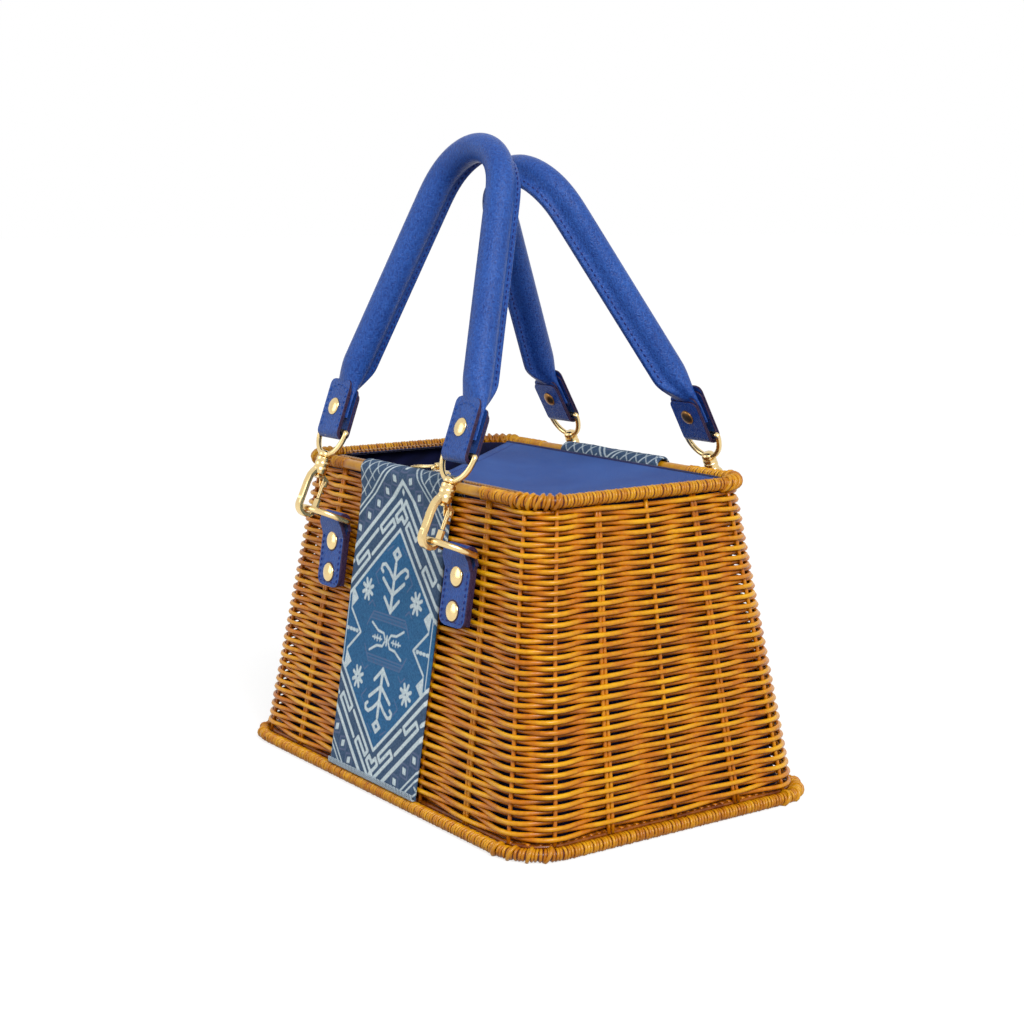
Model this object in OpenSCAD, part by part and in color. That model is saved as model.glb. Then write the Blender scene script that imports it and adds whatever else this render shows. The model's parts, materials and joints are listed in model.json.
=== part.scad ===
// Woven basket bag with two swinging rolled-leather handles, clipped to ringed tabs by swivel hooks.
// Origin at the middle of the floor under the basket, +Z up, the fabric strip facing -Y.

/* [Basket] */
// Length outside the bottom rim
bottom_length = 271; // [240:1:300]
// Depth outside the bottom rim
bottom_depth = 184; // [165:1:210]
// Length outside the top rim
top_length = 216; // [200:1:240]
// Depth outside the top rim
top_depth = 133; // [120:1:150]
// Height to the top of the top rim
basket_height = 160; // [140:1:190]
// Corner radius outside the bottom rim
bottom_corner = 27; // [22:0.5:32]
// Corner radius outside the top rim
top_corner = 20; // [18:0.5:24]
// Diameter of the wrapped rim rods
rim_d = 7; // [6:0.5:9]
// Thickness of the woven base mat
base_t = 4; // [3:0.5:5]
// How much the bottom rim is flattened where it stands
foot_flat = 0.4; // [0.2:0.1:0.8]

/* [Weave] */
// Diameter of the woven rods
rod_d = 2.3; // [2.1:0.1:3]
// Diameter of one upright stake
stake_d = 2.6; // [2:0.1:3.2]
// Open band between the last woven row and each rim
rim_gap = 4; // [2:0.5:7]
// How far the middle of the weave lies inside the outside of the rims
weave_inset = 6.3; // [5.5:0.1:7]

/* [Fabric] */
// Thickness of the lining cloth
lining_t = 1.2; // [0.8:0.1:2]
// Thickness of the top cover
cover_t = 1.5; // [1:0.1:2.5]
// How far the middle of the top cover sags
cover_sag = 6; // [2:0.5:12]
// Width of the brocade strip
strip_w = 82; // [60:1:90]
// Thickness of the brocade strip
strip_t = 1; // [0.6:0.1:1.5]
// Where the zip slider stands along the front rim
slider_x = 10; // [-20:1:30]

/* [Tabs and rings] */
// Distance between the two tabs of one side
tab_spacing = 116; // [108:1:130]
// Width of a leather tab
tab_w = 22; // [18:0.5:26]
// Thickness of one leather layer
leather_t = 2; // [1.5:0.1:2.5]
// How far the ring's pivot lies below the top of the rim
ring_drop = 32; // [26:1:40]
// Length of a tab below the ring's pivot
tab_length = 35; // [32:0.5:42]
// Spacing of the two rivets of a tab
rivet_pitch = 16.5; // [13:0.5:18]
// Diameter of a rivet cap
cap_d = 9.6; // [7:0.2:11]
// Wire diameter of the rings
ring_wire = 3; // [2.5:0.1:3.4]
// Depth of a ring, pivot to the middle of the bow's wire
ring_depth = 18.5; // [17:0.5:22]
// How far the rings stand up from level
ring_tilt = 24; // [15:1:35]

/* [Swivel hooks] */
// Thickness of the hook body
hook_t = 4.6; // [4.4:0.1:5]
// Thickness of the hook's bow
bow_t = 2.6; // [2:0.1:3.2]
// Wire diameter of the swivel eye
eye_wire = 2.8; // [2.2:0.1:3.2]
// How far the hooks lean towards the basket
hook_lean = 24; // [16:1:28]

/* [Handles] */
// Height of a handle's arch above its pivot
arch_height = 148; // [135:1:165]
// Radius of the middle of the arch
arch_r = 30; // [26:1:36]
// Diameter of the rolled leather
tube_d = 14; // [12:0.5:15]
// How far the stitched flange stands out of the roll
flange = 4.5; // [3:0.5:5]
// Width of the flat strap ends
end_w = 20; // [16:0.5:20]
// Length of the flat strap ends above the pivot
end_length = 24; // [22:1:30]
// Lean of the front handle towards the middle
front_lean = 20; // [14:1:21]
// Lean of the back handle towards the middle
back_lean = 29; // [24:1:29]

/* [Hidden] */
$fn = 48;
fit = 0.3;
run = 0.05;

// Colours
cane = [0.78, 0.47, 0.10];
cane_dark = [0.66, 0.36, 0.07];
leather = [0.16, 0.27, 0.62];
cloth = [0.28, 0.40, 0.68];
navy = [0.05, 0.07, 0.20];
brocade = [0.25, 0.45, 0.62];
gold = [0.88, 0.78, 0.55];

// Basket walls: half sizes and corner radius outside the rims at height z
function mix(a, b, t) = a + (b - a) * t;
function half_x(z) = mix(bottom_length, top_length, z / basket_height) / 2;
function half_y(z) = mix(bottom_depth, top_depth, z / basket_height) / 2;
function corner(z) = mix(bottom_corner, top_corner, z / basket_height);
face_lean = atan((bottom_depth - top_depth) / 2 / basket_height);
rim_r = rim_d / 2;
top_rim_z = basket_height - rim_r;
ring_height = basket_height - ring_drop;
base_top = rim_d - foot_flat;
base_z = base_top - base_t;

// Weave: rows run from weave_z0 to weave_z1, stakes run on to the mat and the top rim
weave_z0 = base_top + rim_gap;
weave_z1 = basket_height - rim_d - rim_gap;
row_count = floor((weave_z1 - weave_z0) / rod_d);
row_pitch = (weave_z1 - weave_z0) / row_count;
over = stake_d / 2 + 0.9 * rod_d;
under = -0.4 * rod_d;
crossing = (over + under) / 2;
weave_back = stake_d / 2 + 0.9 * rod_d;
weave_front = over;

// Stakes: pairs and singles take turns along each side, and two singles round each corner
side_stakes = [5, 3, 5, 3];
side_spread = [0.74, 0.6, 0.74, 0.6];
corner_stakes = [15, 75];
function stakes_before(k) = k == 0 ? 0 : stakes_before(k - 1) + side_stakes[k - 1] + len(corner_stakes);
function stake_width(i) = i % 2 == 0 ? 2 * stake_d : stake_d;

// One column of the wall: [side, on a corner, place along it, step sideways, stake number or -1]
wall_columns = [
  for (k = [0:3]) each concat(
    [for (i = [0:side_stakes[k] - 1], s = [-0.5, 0.5])
      [k, false, side_spread[k] * (2 * i / (side_stakes[k] - 1) - 1), s * stake_width(i),
        stakes_before(k) + i]],
    [[k, true, 0, 0, -1]],
    [for (s = [-0.5, 0.5]) [k, true, corner_stakes[0], s * stake_d, stakes_before(k) + side_stakes[k]]],
    [[k, true, 45, 0, -1]],
    [for (s = [-0.5, 0.5]) [k, true, corner_stakes[1], s * stake_d, stakes_before(k) + side_stakes[k] + 1]],
    [[k, true, 90, 0, -1]])
];
column_count = len(wall_columns);

function quarter_turn(p, k) = k == 0 ? p : quarter_turn([-p[1], p[0]], k - 1);

// A point of the wall at height z, moved out by d from the middle of the weave
function wall_point(c, z, d) =
  let (k = c[0],
    r = corner(z) - weave_inset,
    along = (k % 2 == 0 ? half_x(z) : half_y(z)) - weave_inset,
    across = (k % 2 == 0 ? half_y(z) : half_x(z)) - weave_inset,
    turn = c[1] ? c[2] - 90 + c[3] / r * 180 / PI : -90,
    middle = [c[1] ? along - r : c[2] * (along - r) + c[3], -(across - r)],
    p = quarter_turn(middle + (r + d) * [cos(turn), sin(turn)], k))
  [p[0], p[1], z];

function row_depth(c, j) = c[4] < 0 ? crossing : (c[4] + j) % 2 == 0 ? over : under;
function row_z(j) = weave_z0 + (j + 0.5) * row_pitch;
function is_stake(i) =
  let (a = wall_columns[i], b = wall_columns[(i + 1) % column_count]) a[4] >= 0 && a[4] == b[4];
function split(q) = [[q[0], q[1], q[2]], [q[0], q[2], q[3]]];

stake_foot = base_top;
stake_head = basket_height - rim_d - fit;

// Rounded outlines
module rounded_plate(hx, hy, r) {
  square([2 * hx, 2 * (hy - r)], center = true);
  square([2 * (hx - r), 2 * hy], center = true);
  for (x = [-1, 1], y = [-1, 1]) translate([x * (hx - r), y * (hy - r)]) circle(r);
}

// A rod bent round a rounded rectangle, given by its own middle line
module bent_rim(hx, hy, r) {
  for (s = [-1, 1]) {
    translate([0, s * hy, 0]) rotate([0, 90, 0]) cylinder(r = rim_r, h = 2 * (hx - r), center = true);
    translate([s * hx, 0, 0]) rotate([90, 0, 0]) cylinder(r = rim_r, h = 2 * (hy - r), center = true);
  }
  for (k = [0:3]) translate([(k == 0 || k == 3 ? 1 : -1) * (hx - r), (k < 2 ? 1 : -1) * (hy - r), 0])
    rotate([0, 0, 90 * k]) rotate_extrude(angle = 90) translate([r, 0]) circle(rim_r);
}

// The wall: woven ridges outside, smooth behind, with the stakes bridging open bands at both rims
module woven_wall() {
  n = column_count;
  last = row_count + 1;
  outer = [
    for (c = wall_columns) wall_point(c, stake_foot, stake_d / 2),
    for (j = [0:row_count - 1], c = wall_columns) wall_point(c, row_z(j), row_depth(c, j)),
    for (c = wall_columns) wall_point(c, stake_head, stake_d / 2)];
  inner = [
    for (c = wall_columns) wall_point(c, stake_foot, -stake_d / 2),
    for (c = wall_columns) wall_point(c, row_z(0), -weave_back),
    for (c = wall_columns) wall_point(c, row_z(row_count - 1), -weave_back),
    for (c = wall_columns) wall_point(c, stake_head, -stake_d / 2)];
  first_inner = len(outer);
  function o(r, c) = r * n + c % n;
  function i(r, c) = first_inner + r * n + c % n;
  // A band of the wall between two rings: with every column, or with the stakes alone
  function skins(r0, r1, i0, i1, c) = concat(
    split([o(r0, c), o(r1, c), o(r1, c + 1), o(r0, c + 1)]),
    split([i(i0, c), i(i0, c + 1), i(i1, c + 1), i(i1, c)]));
  function sides(r0, r1, i0, i1, c) = concat(
    split([o(r1, c), o(r0, c), i(i0, c), i(i1, c)]),
    split([o(r0, c + 1), o(r1, c + 1), i(i1, c + 1), i(i0, c + 1)]));
  function under_edge(r, ir, c) = split([o(r, c), o(r, c + 1), i(ir, c + 1), i(ir, c)]);
  function top_edge(r, ir, c) = split([o(r, c + 1), o(r, c), i(ir, c), i(ir, c + 1)]);
  faces = [
    for (r = [1:row_count - 1], c = [0:n - 1])
      each split([o(r, c), o(r + 1, c), o(r + 1, c + 1), o(r, c + 1)]),
    for (c = [0:n - 1]) each split([i(1, c), i(1, c + 1), i(2, c + 1), i(2, c)]),
    for (c = [0:n - 1]) if (is_stake(c)) each concat(
      skins(0, 1, 0, 1, c), sides(0, 1, 0, 1, c), under_edge(0, 0, c),
      skins(row_count, last, 2, 3, c), sides(row_count, last, 2, 3, c), top_edge(last, 3, c)),
    for (c = [0:n - 1]) if (!is_stake(c)) each concat(
      under_edge(1, 1, c), top_edge(row_count, 2, c))];
  color(cane) polyhedron(points = concat(outer, inner), faces = faces, convexity = 6);
}

// Base mat: flat rods side by side, inside the bottom rim
mat_pitch = 6;
mat_bump = 0.8;
mat_x = bottom_length / 2 - rim_d - fit;
mat_y = bottom_depth / 2 - rim_d - fit;
module base_mat() {
  steps = 4 * ceil(mat_y / mat_pitch);
  ys = [for (i = [-steps:steps]) i * mat_pitch / 4];
  below = [for (y = ys) [y, base_z + mat_bump * (1 - abs(sin(180 * y / mat_pitch)))]];
  color(cane_dark) intersection() {
    translate([0, 0, base_z]) linear_extrude(base_t) rounded_plate(mat_x, mat_y, bottom_corner - rim_d);
    rotate([90, 0, 90]) linear_extrude(bottom_length, center = true)
      polygon(concat(below, [[ys[2 * steps], base_top], [ys[0], base_top]]));
  }
}

module bottom_rim() {
  color(cane) difference() {
    translate([0, 0, rim_r - foot_flat])
      bent_rim(bottom_length / 2 - rim_r, bottom_depth / 2 - rim_r, bottom_corner - rim_r);
    translate([-bottom_length, -bottom_depth, -rim_d]) cube([2 * bottom_length, 2 * bottom_depth, rim_d]);
  }
}

module top_rim() {
  color(cane) translate([0, 0, top_rim_z])
    bent_rim(top_length / 2 - rim_r, top_depth / 2 - rim_r, top_corner - rim_r);
}

// Fabric inside: the lining hangs clear of the rivets' inner caps and flares to the rim at its mouth
inner_cap_t = 1.2;
shank_d = 4;
lining_gap = inner_cap_t + 2 * fit;
lining_inset = weave_inset + weave_back + lining_gap;
mouth_inset = rim_d + strip_t + 2 * fit;
lining_floor = base_top + fit;
flare_z = ring_height + 12;
mouth_z = basket_height - rim_r - 0.5;
arc_steps = 4;

// A ring of points at height z, inset from the basket's outside as it is at the given level
function cloth_ring(z, inset, level) = [
  for (k = [0:3], t = [0:arc_steps])
    let (r = corner(level) - inset,
      along = (k % 2 == 0 ? half_x(level) : half_y(level)) - inset - r,
      across = (k % 2 == 0 ? half_y(level) : half_x(level)) - inset - r,
      turn = -90 + 90 * t / arc_steps,
      p = quarter_turn([along + r * cos(turn), -across + r * sin(turn)], k))
    [p[0], p[1], z]];

module lofted(rings) {
  n = len(rings[0]);
  m = len(rings);
  faces = [
    for (r = [0:m - 2], c = [0:n - 1])
      each split([r * n + c, (r + 1) * n + c, (r + 1) * n + (c + 1) % n, r * n + (c + 1) % n]),
    [for (c = [0:n - 1]) c],
    [for (c = [0:n - 1]) m * n - 1 - c]];
  polyhedron(points = [for (ring = rings) each ring], faces = faces, convexity = 4);
}

module lining() {
  inner_floor = lining_floor + lining_t;
  outside = [cloth_ring(lining_floor, lining_inset, lining_floor), cloth_ring(flare_z, lining_inset, flare_z),
    cloth_ring(mouth_z, mouth_inset, basket_height)];
  inside = [cloth_ring(mouth_z, mouth_inset + lining_t, basket_height),
    cloth_ring(flare_z, lining_inset + lining_t, flare_z),
    cloth_ring(inner_floor, lining_inset + lining_t, inner_floor)];
  color(navy) lofted(concat(outside, inside));
}

// Top cover: sewn along the back and the near end, zipped shut along the front up to the slider,
// with its loose corner tucked under along the slanting hem
cover_inset = mouth_inset + lining_t + fit;
cover_x = top_length / 2 - cover_inset;
cover_y = top_depth / 2 - cover_inset;
cover_r = top_corner - cover_inset;
cover_z = mouth_z - fit;
hem_back_x = -(cover_x - cover_r);
cover_steps = 8;
function end_x(y) =
  let (in_corner = abs(y) - (cover_y - cover_r))
  cover_x - cover_r + (in_corner > 0 ? sqrt(max(cover_r * cover_r - in_corner * in_corner, 0)) : cover_r);
function hem_x(y) = mix(slider_x, hem_back_x, (y + cover_y) / (2 * cover_y));
function cover_point(u, v, drop) =
  let (y = mix(-cover_y, cover_y, v))
  [mix(hem_x(y), end_x(y), u), y, cover_z - drop - cover_sag * sin(180 * u) * sin(180 * v)];

module top_cover() {
  n = cover_steps + 1;
  function at(layer, a, b) = layer * n * n + a * n + b;
  points = [for (layer = [0, 1], a = [0:cover_steps], b = [0:cover_steps])
    cover_point(a / cover_steps, b / cover_steps, layer * cover_t)];
  faces = [
    for (a = [0:cover_steps - 1], b = [0:cover_steps - 1]) each concat(
      split([at(0, a, b), at(0, a, b + 1), at(0, a + 1, b + 1), at(0, a + 1, b)]),
      split([at(1, a, b), at(1, a + 1, b), at(1, a + 1, b + 1), at(1, a, b + 1)])),
    for (a = [0:cover_steps - 1]) each concat(
      split([at(0, a, 0), at(0, a + 1, 0), at(1, a + 1, 0), at(1, a, 0)]),
      split([at(0, a + 1, cover_steps), at(0, a, cover_steps), at(1, a, cover_steps),
        at(1, a + 1, cover_steps)])),
    for (b = [0:cover_steps - 1]) each concat(
      split([at(0, 0, b + 1), at(0, 0, b), at(1, 0, b), at(1, 0, b + 1)]),
      split([at(0, cover_steps, b), at(0, cover_steps, b + 1), at(1, cover_steps, b + 1),
        at(1, cover_steps, b)]))];
  color(cloth) polyhedron(points = points, faces = faces, convexity = 4);
}

// Zip: a tape on the lining's edge along the front and the far end, with a row of teeth
tape_w = 8;
tape_t = 0.8;
tooth_pitch = 2.5;
tooth_w = 4;
tooth_h = 1.2;
tape_z = mouth_z + fit;
teeth_z = tape_z + tape_t;
tape_inset = mouth_inset + fit;
tape_y = top_depth / 2 - tape_inset;
tape_x = top_length / 2 - tape_inset;
front_tape_half = tape_x - cover_r - 2 * tooth_pitch;
side_tape_half = tape_y - cover_r - 2 * tooth_pitch;
teeth_y = tape_y - tape_w / 2;

// A tape of the given half length along X, its outer edge on y = 0, teeth along its middle
module toothed_tape(half) {
  count = floor(2 * half / tooth_pitch);
  translate([-half, 0, 0]) cube([2 * half, tape_w, tape_t]);
  translate([0, tape_w / 2, tape_t]) linear_extrude(tooth_h)
    polygon(concat(
      [for (i = [0:count - 1], e = [0, 1])
        [-half + (i + e * 0.5) * tooth_pitch, -tooth_w / 2 * (1 - 0.25 * e)]],
      [for (i = [count - 1:-1:0], e = [1, 0])
        [-half + (i + e * 0.5) * tooth_pitch, tooth_w / 2 * (1 - 0.25 * e)]]));
}

module zip_tape() {
  color(navy) {
    translate([0, -tape_y, tape_z]) toothed_tape(front_tape_half);
    translate([-tape_x, 0, tape_z]) rotate([0, 0, -90]) toothed_tape(side_tape_half);
  }
}

// Zip slider: a channelled body over the teeth with a bridge, and a pull that swings on the bridge
slider_l = 11;
slider_w = 8;
slider_top = teeth_z + tooth_h + fit + 1.6;
bridge_r = 0.8;
pull_eye = 1;
bridge_z = slider_top + bridge_r + run + pull_eye + fit;
pull_l = 20;
pull_w = 6;
pull_t = 1.6;
pull_dip = 7;

module zip_slider() {
  color(gold) translate([slider_x, -teeth_y, 0]) {
    difference() {
      translate([0, 0, teeth_z + fit]) linear_extrude(slider_top - teeth_z - fit)
        rounded_plate(slider_l / 2, slider_w / 2, 2);
      translate([0, 0, teeth_z]) cube([2 * slider_l, tooth_w + 2 * fit, 2 * (tooth_h + fit)], center = true);
    }
    for (s = [-1, 1]) translate([0, s * (slider_w / 2 - 0.8), slider_top])
      translate([0, 0, (bridge_z - slider_top) / 2]) cube([2, 1.6, bridge_z - slider_top], center = true);
    translate([0, 0, bridge_z]) rotate([90, 0, 0]) cylinder(r = bridge_r, h = slider_w, center = true);
  }
}

module zip_pull() {
  eye_r = bridge_r + run;
  color(gold) translate([slider_x, -teeth_y, bridge_z]) rotate([0, -pull_dip, 0]) difference() {
    union() {
      rotate([90, 0, 0]) cylinder(r = eye_r + pull_eye, h = 4, center = true);
      translate([-pull_l, 0, 0]) translate([0, 0, -pull_t / 2]) linear_extrude(pull_t) {
        translate([pull_l / 2, 0]) square([pull_l, 4], center = true);
        circle(pull_w / 2);
        translate([pull_l / 4, 0]) square([pull_l / 2, pull_w], center = true);
      }
    }
    rotate([90, 0, 0]) cylinder(r = eye_r, h = slider_w, center = true);
  }
}

// Brocade strip: up the wall, round the top rim and down inside it
function ribbon_normal(p, i) =
  let (d = p[min(i + 1, len(p) - 1)] - p[max(i - 1, 0)]) [-d[1], d[0]] / norm(d);
module ribbon(path, t) {
  polygon(concat(
    [for (i = [0:len(path) - 1]) path[i] + ribbon_normal(path, i) * t / 2],
    [for (i = [len(path) - 1:-1:0]) path[i] - ribbon_normal(path, i) * t / 2]));
}

module strip() {
  stand_off = weave_inset - weave_front - fit - strip_t / 2;
  wrap_r = rim_r + fit + strip_t / 2;
  rim_y = half_y(basket_height) - rim_r;
  shoulder_z = weave_z1 - 2;
  foot_z = base_top + fit;
  tail = 1.5 * rim_r;
  path = concat(
    [[-half_y(foot_z) + stand_off, foot_z], [-half_y(shoulder_z) + stand_off, shoulder_z]],
    [for (a = [180:-15:0]) [-rim_y + wrap_r * cos(a), top_rim_z + wrap_r * sin(a)]],
    [[-rim_y + wrap_r, top_rim_z - tail]]);
  color(brocade) rotate([90, 0, 90]) linear_extrude(strip_w, center = true) ribbon(path, strip_t);
}

module front_strip() { strip(); }
module back_strip() { rotate([0, 0, 180]) strip(); }

// Tabs: a leather strap doubled over the ring's bar and riveted flat to the weave
tab_x = tab_spacing / 2;
ring_bore = ring_wire / 2 + fit;
loop_r = ring_bore + leather_t;
tab_t = 2 * leather_t;
tab_corner = 4;
tab_seat = weave_front + fit;
upper_rivet = -tab_length + rivet_pitch + (tab_w - cap_d) / 2 + 1;
rivet_z = [upper_rivet, upper_rivet - rivet_pitch];

// Places children on the front wall at the ring's height, -Y out of the wall
module on_front() {
  translate([0, -(half_y(ring_height) - weave_inset), ring_height]) rotate([-face_lean, 0, 0]) children();
}

// The four corners of the bag: side 1 is +X, and the back is the front turned round
module at_corner(back, side) {
  rotate([0, 0, back ? 180 : 0]) translate([(back ? -1 : 1) * side * tab_x, 0, 0]) children();
}

module tab(back, side) {
  side_view = [[-tab_t, -1.6 * loop_r], [-tab_t, -tab_length], [0, -tab_length]];
  color(leather) at_corner(back, side) on_front() translate([0, -tab_seat, 0]) difference() {
    intersection() {
      rotate([90, 0, 90]) linear_extrude(tab_w, center = true) {
        translate([-loop_r, 0]) circle(loop_r);
        polygon(concat([[0, 0], [-2 * loop_r, 0]], side_view));
      }
      rotate([90, 0, 0]) linear_extrude(8 * loop_r, center = true) {
        translate([-tab_w / 2, -tab_length + tab_corner]) square([tab_w, tab_length + loop_r]);
        translate([-tab_w / 2 + tab_corner, -tab_length]) square([tab_w - 2 * tab_corner, tab_corner]);
        for (s = [-1, 1]) translate([s * (tab_w / 2 - tab_corner), -tab_length + tab_corner])
          circle(tab_corner);
      }
    }
    translate([0, -loop_r, 0]) rotate([0, 90, 0]) cylinder(r = ring_bore, h = 2 * tab_w, center = true);
    for (z = rivet_z) translate([0, 0, z]) rotate([90, 0, 0])
      cylinder(d = shank_d + 2 * run, h = 4 * tab_t, center = true);
  }
}

module front_left_tab() { tab(false, -1); }
module front_right_tab() { tab(false, 1); }
module back_left_tab() { tab(true, -1); }
module back_right_tab() { tab(true, 1); }

// A domed rivet cap on z = 0, and a whole rivet through a stack of thickness t with its cap at z = 0
cap_h = 2;
module dome(d) {
  rotate_extrude() polygon(concat(
    [[0, 0], [d / 2, 0]], [for (a = [0:15:90]) [d / 2 * cos(a), 0.3 * cap_h + 0.7 * cap_h * sin(a)]]));
}
module rivet(t, back_d, back_t) {
  dome(cap_d);
  translate([0, 0, -t]) cylinder(d = shank_d, h = t + 0.1);
  translate([0, 0, -t - back_t]) cylinder(d = back_d, h = back_t);
}

module tab_rivets() {
  stack = tab_t + tab_seat + weave_back + fit;
  color(gold) for (back = [false, true], side = [-1, 1], z = rivet_z)
    at_corner(back, side) on_front() translate([0, -tab_seat - tab_t, z]) rotate([90, 0, 0])
      rivet(stack, cap_d, inner_cap_t);
}

// Rings: a straight bar in the tab's loop, two short arms and a round bow
ring_half = tab_w / 2 + 1 + ring_wire / 2;
arm_length = ring_depth - ring_half;
module at_ring_pivot() {
  on_front() translate([0, -tab_seat - loop_r, 0]) rotate([face_lean, 0, 0]) children();
}
module ring(back, side) {
  wire = ring_wire / 2;
  color(gold) at_corner(back, side) at_ring_pivot() rotate([-ring_tilt, 0, 0]) {
    rotate([0, 90, 0]) cylinder(r = wire, h = 2 * ring_half, center = true);
    for (s = [-1, 1]) translate([s * ring_half, 0, 0]) {
      sphere(wire);
      rotate([90, 0, 0]) cylinder(r = wire, h = arm_length);
    }
    translate([0, -arm_length, 0]) rotate([0, 0, 180]) rotate_extrude(angle = 180)
      translate([ring_half, 0]) circle(wire);
  }
}
module front_left_ring() { ring(false, -1); }
module front_right_ring() { ring(false, 1); }
module back_left_ring() { ring(true, -1); }
module back_right_ring() { ring(true, 1); }

// Swivel hooks: z runs up the hook from the ring's bow, +Y towards the basket
throat = 3.4;
bow_slack = 0.7;
bow_z = throat - ring_wire / 2 - bow_slack;
hook_half = throat + bow_t;
tip_z = 6;
pivot_z = 14.5;
pivot_y = throat + bow_t / 2;
head_z = 17.5;
barrel_z = 20;
barrel_top = 27;
barrel_r = 3.6;
post_r = 1.5;
post_head_r = 2.5;
post_head_t = 1.2;
pin_r = 0.7;
gate_t = 2.4;
gate_slot = gate_t + 2 * fit;
gate_room = 2.2;

module at_hook(back, side) {
  at_corner(back, side) at_ring_pivot() rotate([-ring_tilt, 0, 0]) translate([0, -ring_depth, 0])
    rotate([ring_tilt - hook_lean, 0, 0]) children();
}

// Turns a drawing of Y and Z into a plate of thickness t across X
module plate_yz(t) {
  rotate([90, 0, 90]) linear_extrude(t, center = true) children();
}

module hook(back, side) {
  color(gold) at_hook(back, side) difference() {
    union() {
      plate_yz(hook_t) {
        difference() {
          translate([0, bow_z]) circle(hook_half);
          translate([0, bow_z]) circle(throat);
          translate([-hook_half, bow_z]) square([2 * hook_half, 2 * hook_half]);
        }
        translate([-hook_half, bow_z]) square([bow_t, head_z - bow_z]);
        translate([throat, bow_z]) square([bow_t, tip_z - bow_z]);
        translate([throat, pivot_z - gate_room]) square([bow_t, head_z - pivot_z + gate_room]);
        polygon([[-hook_half, head_z], [hook_half, head_z], [barrel_r, barrel_z + 1], [-barrel_r, barrel_z + 1]]);
      }
      translate([0, 0, barrel_z]) cylinder(r = barrel_r, h = barrel_top - barrel_z);
    }
    cylinder(r = post_r + run, h = 2 * barrel_top);
    translate([0, pivot_y, pivot_z]) rotate([0, 90, 0]) cylinder(r = pin_r, h = 2 * hook_t, center = true);
    translate([0, pivot_y, pivot_z - gate_room / 2])
      cube([gate_slot, 2 * bow_t, 2 * gate_room + gate_room], center = true);
  }
}
module front_left_hook() { hook(false, -1); }
module front_right_hook() { hook(false, 1); }
module back_left_hook() { hook(true, -1); }
module back_right_hook() { hook(true, 1); }

// Gates: a sprung lever from its pin down to the hook's tip, with a thumb nub
module gate(back, side) {
  eye = 1.7;
  color(gold) at_hook(back, side) difference() {
    plate_yz(gate_t) {
      translate([pivot_y, pivot_z]) circle(eye);
      translate([pivot_y - 1, tip_z + fit]) square([2, pivot_z - tip_z - fit]);
      translate([pivot_y, (tip_z + pivot_z) / 2]) square([bow_t / 2 + 1.4, 2.4]);
    }
    translate([0, pivot_y, pivot_z]) rotate([0, 90, 0])
      cylinder(r = pin_r + run, h = 2 * hook_t, center = true);
  }
}
module front_left_gate() { gate(false, -1); }
module front_right_gate() { gate(false, 1); }
module back_left_gate() { gate(true, -1); }
module back_right_gate() { gate(true, 1); }

module gate_pin(back, side) {
  color(gold) at_hook(back, side) translate([0, pivot_y, pivot_z]) rotate([0, 90, 0])
    cylinder(r = pin_r, h = hook_t, center = true);
}
module front_left_gate_pin() { gate_pin(false, -1); }
module front_right_gate_pin() { gate_pin(false, 1); }
module back_left_gate_pin() { gate_pin(true, -1); }
module back_right_gate_pin() { gate_pin(true, 1); }

// Swivel eyes: a headed post through the barrel, a collar, and a half-round loop closed by a bar
collar_r = 3.4;
collar_z = barrel_top + fit;
collar_h = 3;
eye_half = end_w / 2 + 3 * fit + eye_wire / 2;
eye_z = collar_z + collar_h - eye_wire / 2 + eye_half;
module eye(back, side) {
  wire = eye_wire / 2;
  color(gold) at_hook(back, side) {
    translate([0, 0, head_z - fit - post_head_t]) cylinder(r = post_head_r, h = post_head_t);
    translate([0, 0, head_z - fit - 0.1]) cylinder(r = post_r, h = collar_z - head_z + fit + 0.2);
    translate([0, 0, collar_z]) cylinder(r = collar_r, h = collar_h);
    translate([0, 0, eye_z]) {
      rotate([0, 90, 0]) cylinder(r = wire, h = 2 * eye_half, center = true);
      for (s = [-1, 1]) translate([s * eye_half, 0, 0]) sphere(wire);
      rotate([-90, 0, 0]) rotate_extrude(angle = 180) translate([eye_half, 0]) circle(wire);
    }
  }
}
module front_left_eye() { eye(false, -1); }
module front_right_eye() { eye(false, 1); }
module back_left_eye() { eye(true, -1); }
module back_right_eye() { eye(true, 1); }

// Handles: z runs up the handle from the eyes' bars, +Y towards the middle of the bag
module at_handle(back) {
  lean = back ? back_lean : front_lean;
  rotate([0, 0, back ? 180 : 0]) at_ring_pivot() rotate([-ring_tilt, 0, 0]) translate([0, -ring_depth, 0])
    rotate([ring_tilt - hook_lean, 0, 0]) translate([0, 0, eye_z]) rotate([hook_lean - lean, 0, 0])
      children();
}

// The roll's middle line: flat ends, straight legs and a round arch, from right to left
end_gap = eye_wire / 2 + 0.4;
flat_t = 2 * end_gap - 0.2;
roll_foot = end_gap + 6;
leg_z = end_length + 3;
arch_z = arch_height - arch_r;
leg_span = norm([tab_x, leg_z - arch_z]);
leg_turn = atan2(leg_z - arch_z, tab_x) + acos(arch_r / leg_span);
leg_top = [arch_r * cos(leg_turn), arch_z + arch_r * sin(leg_turn)];
leg_steps = 7;
right_half = concat(
  [for (t = [0, 0.5, 1]) [tab_x, mix(roll_foot, end_length, t)]],
  [for (t = [0:leg_steps - 1]) mix([tab_x, leg_z], leg_top, t / leg_steps)],
  [for (t = [0:5]) let (a = mix(leg_turn, 90, t / 6)) [arch_r * cos(a), arch_z + arch_r * sin(a)]]);
roll_path = concat(right_half, [[0, arch_height]],
  [for (i = [len(right_half) - 1:-1:0]) [-right_half[i][0], right_half[i][1]]]);

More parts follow.
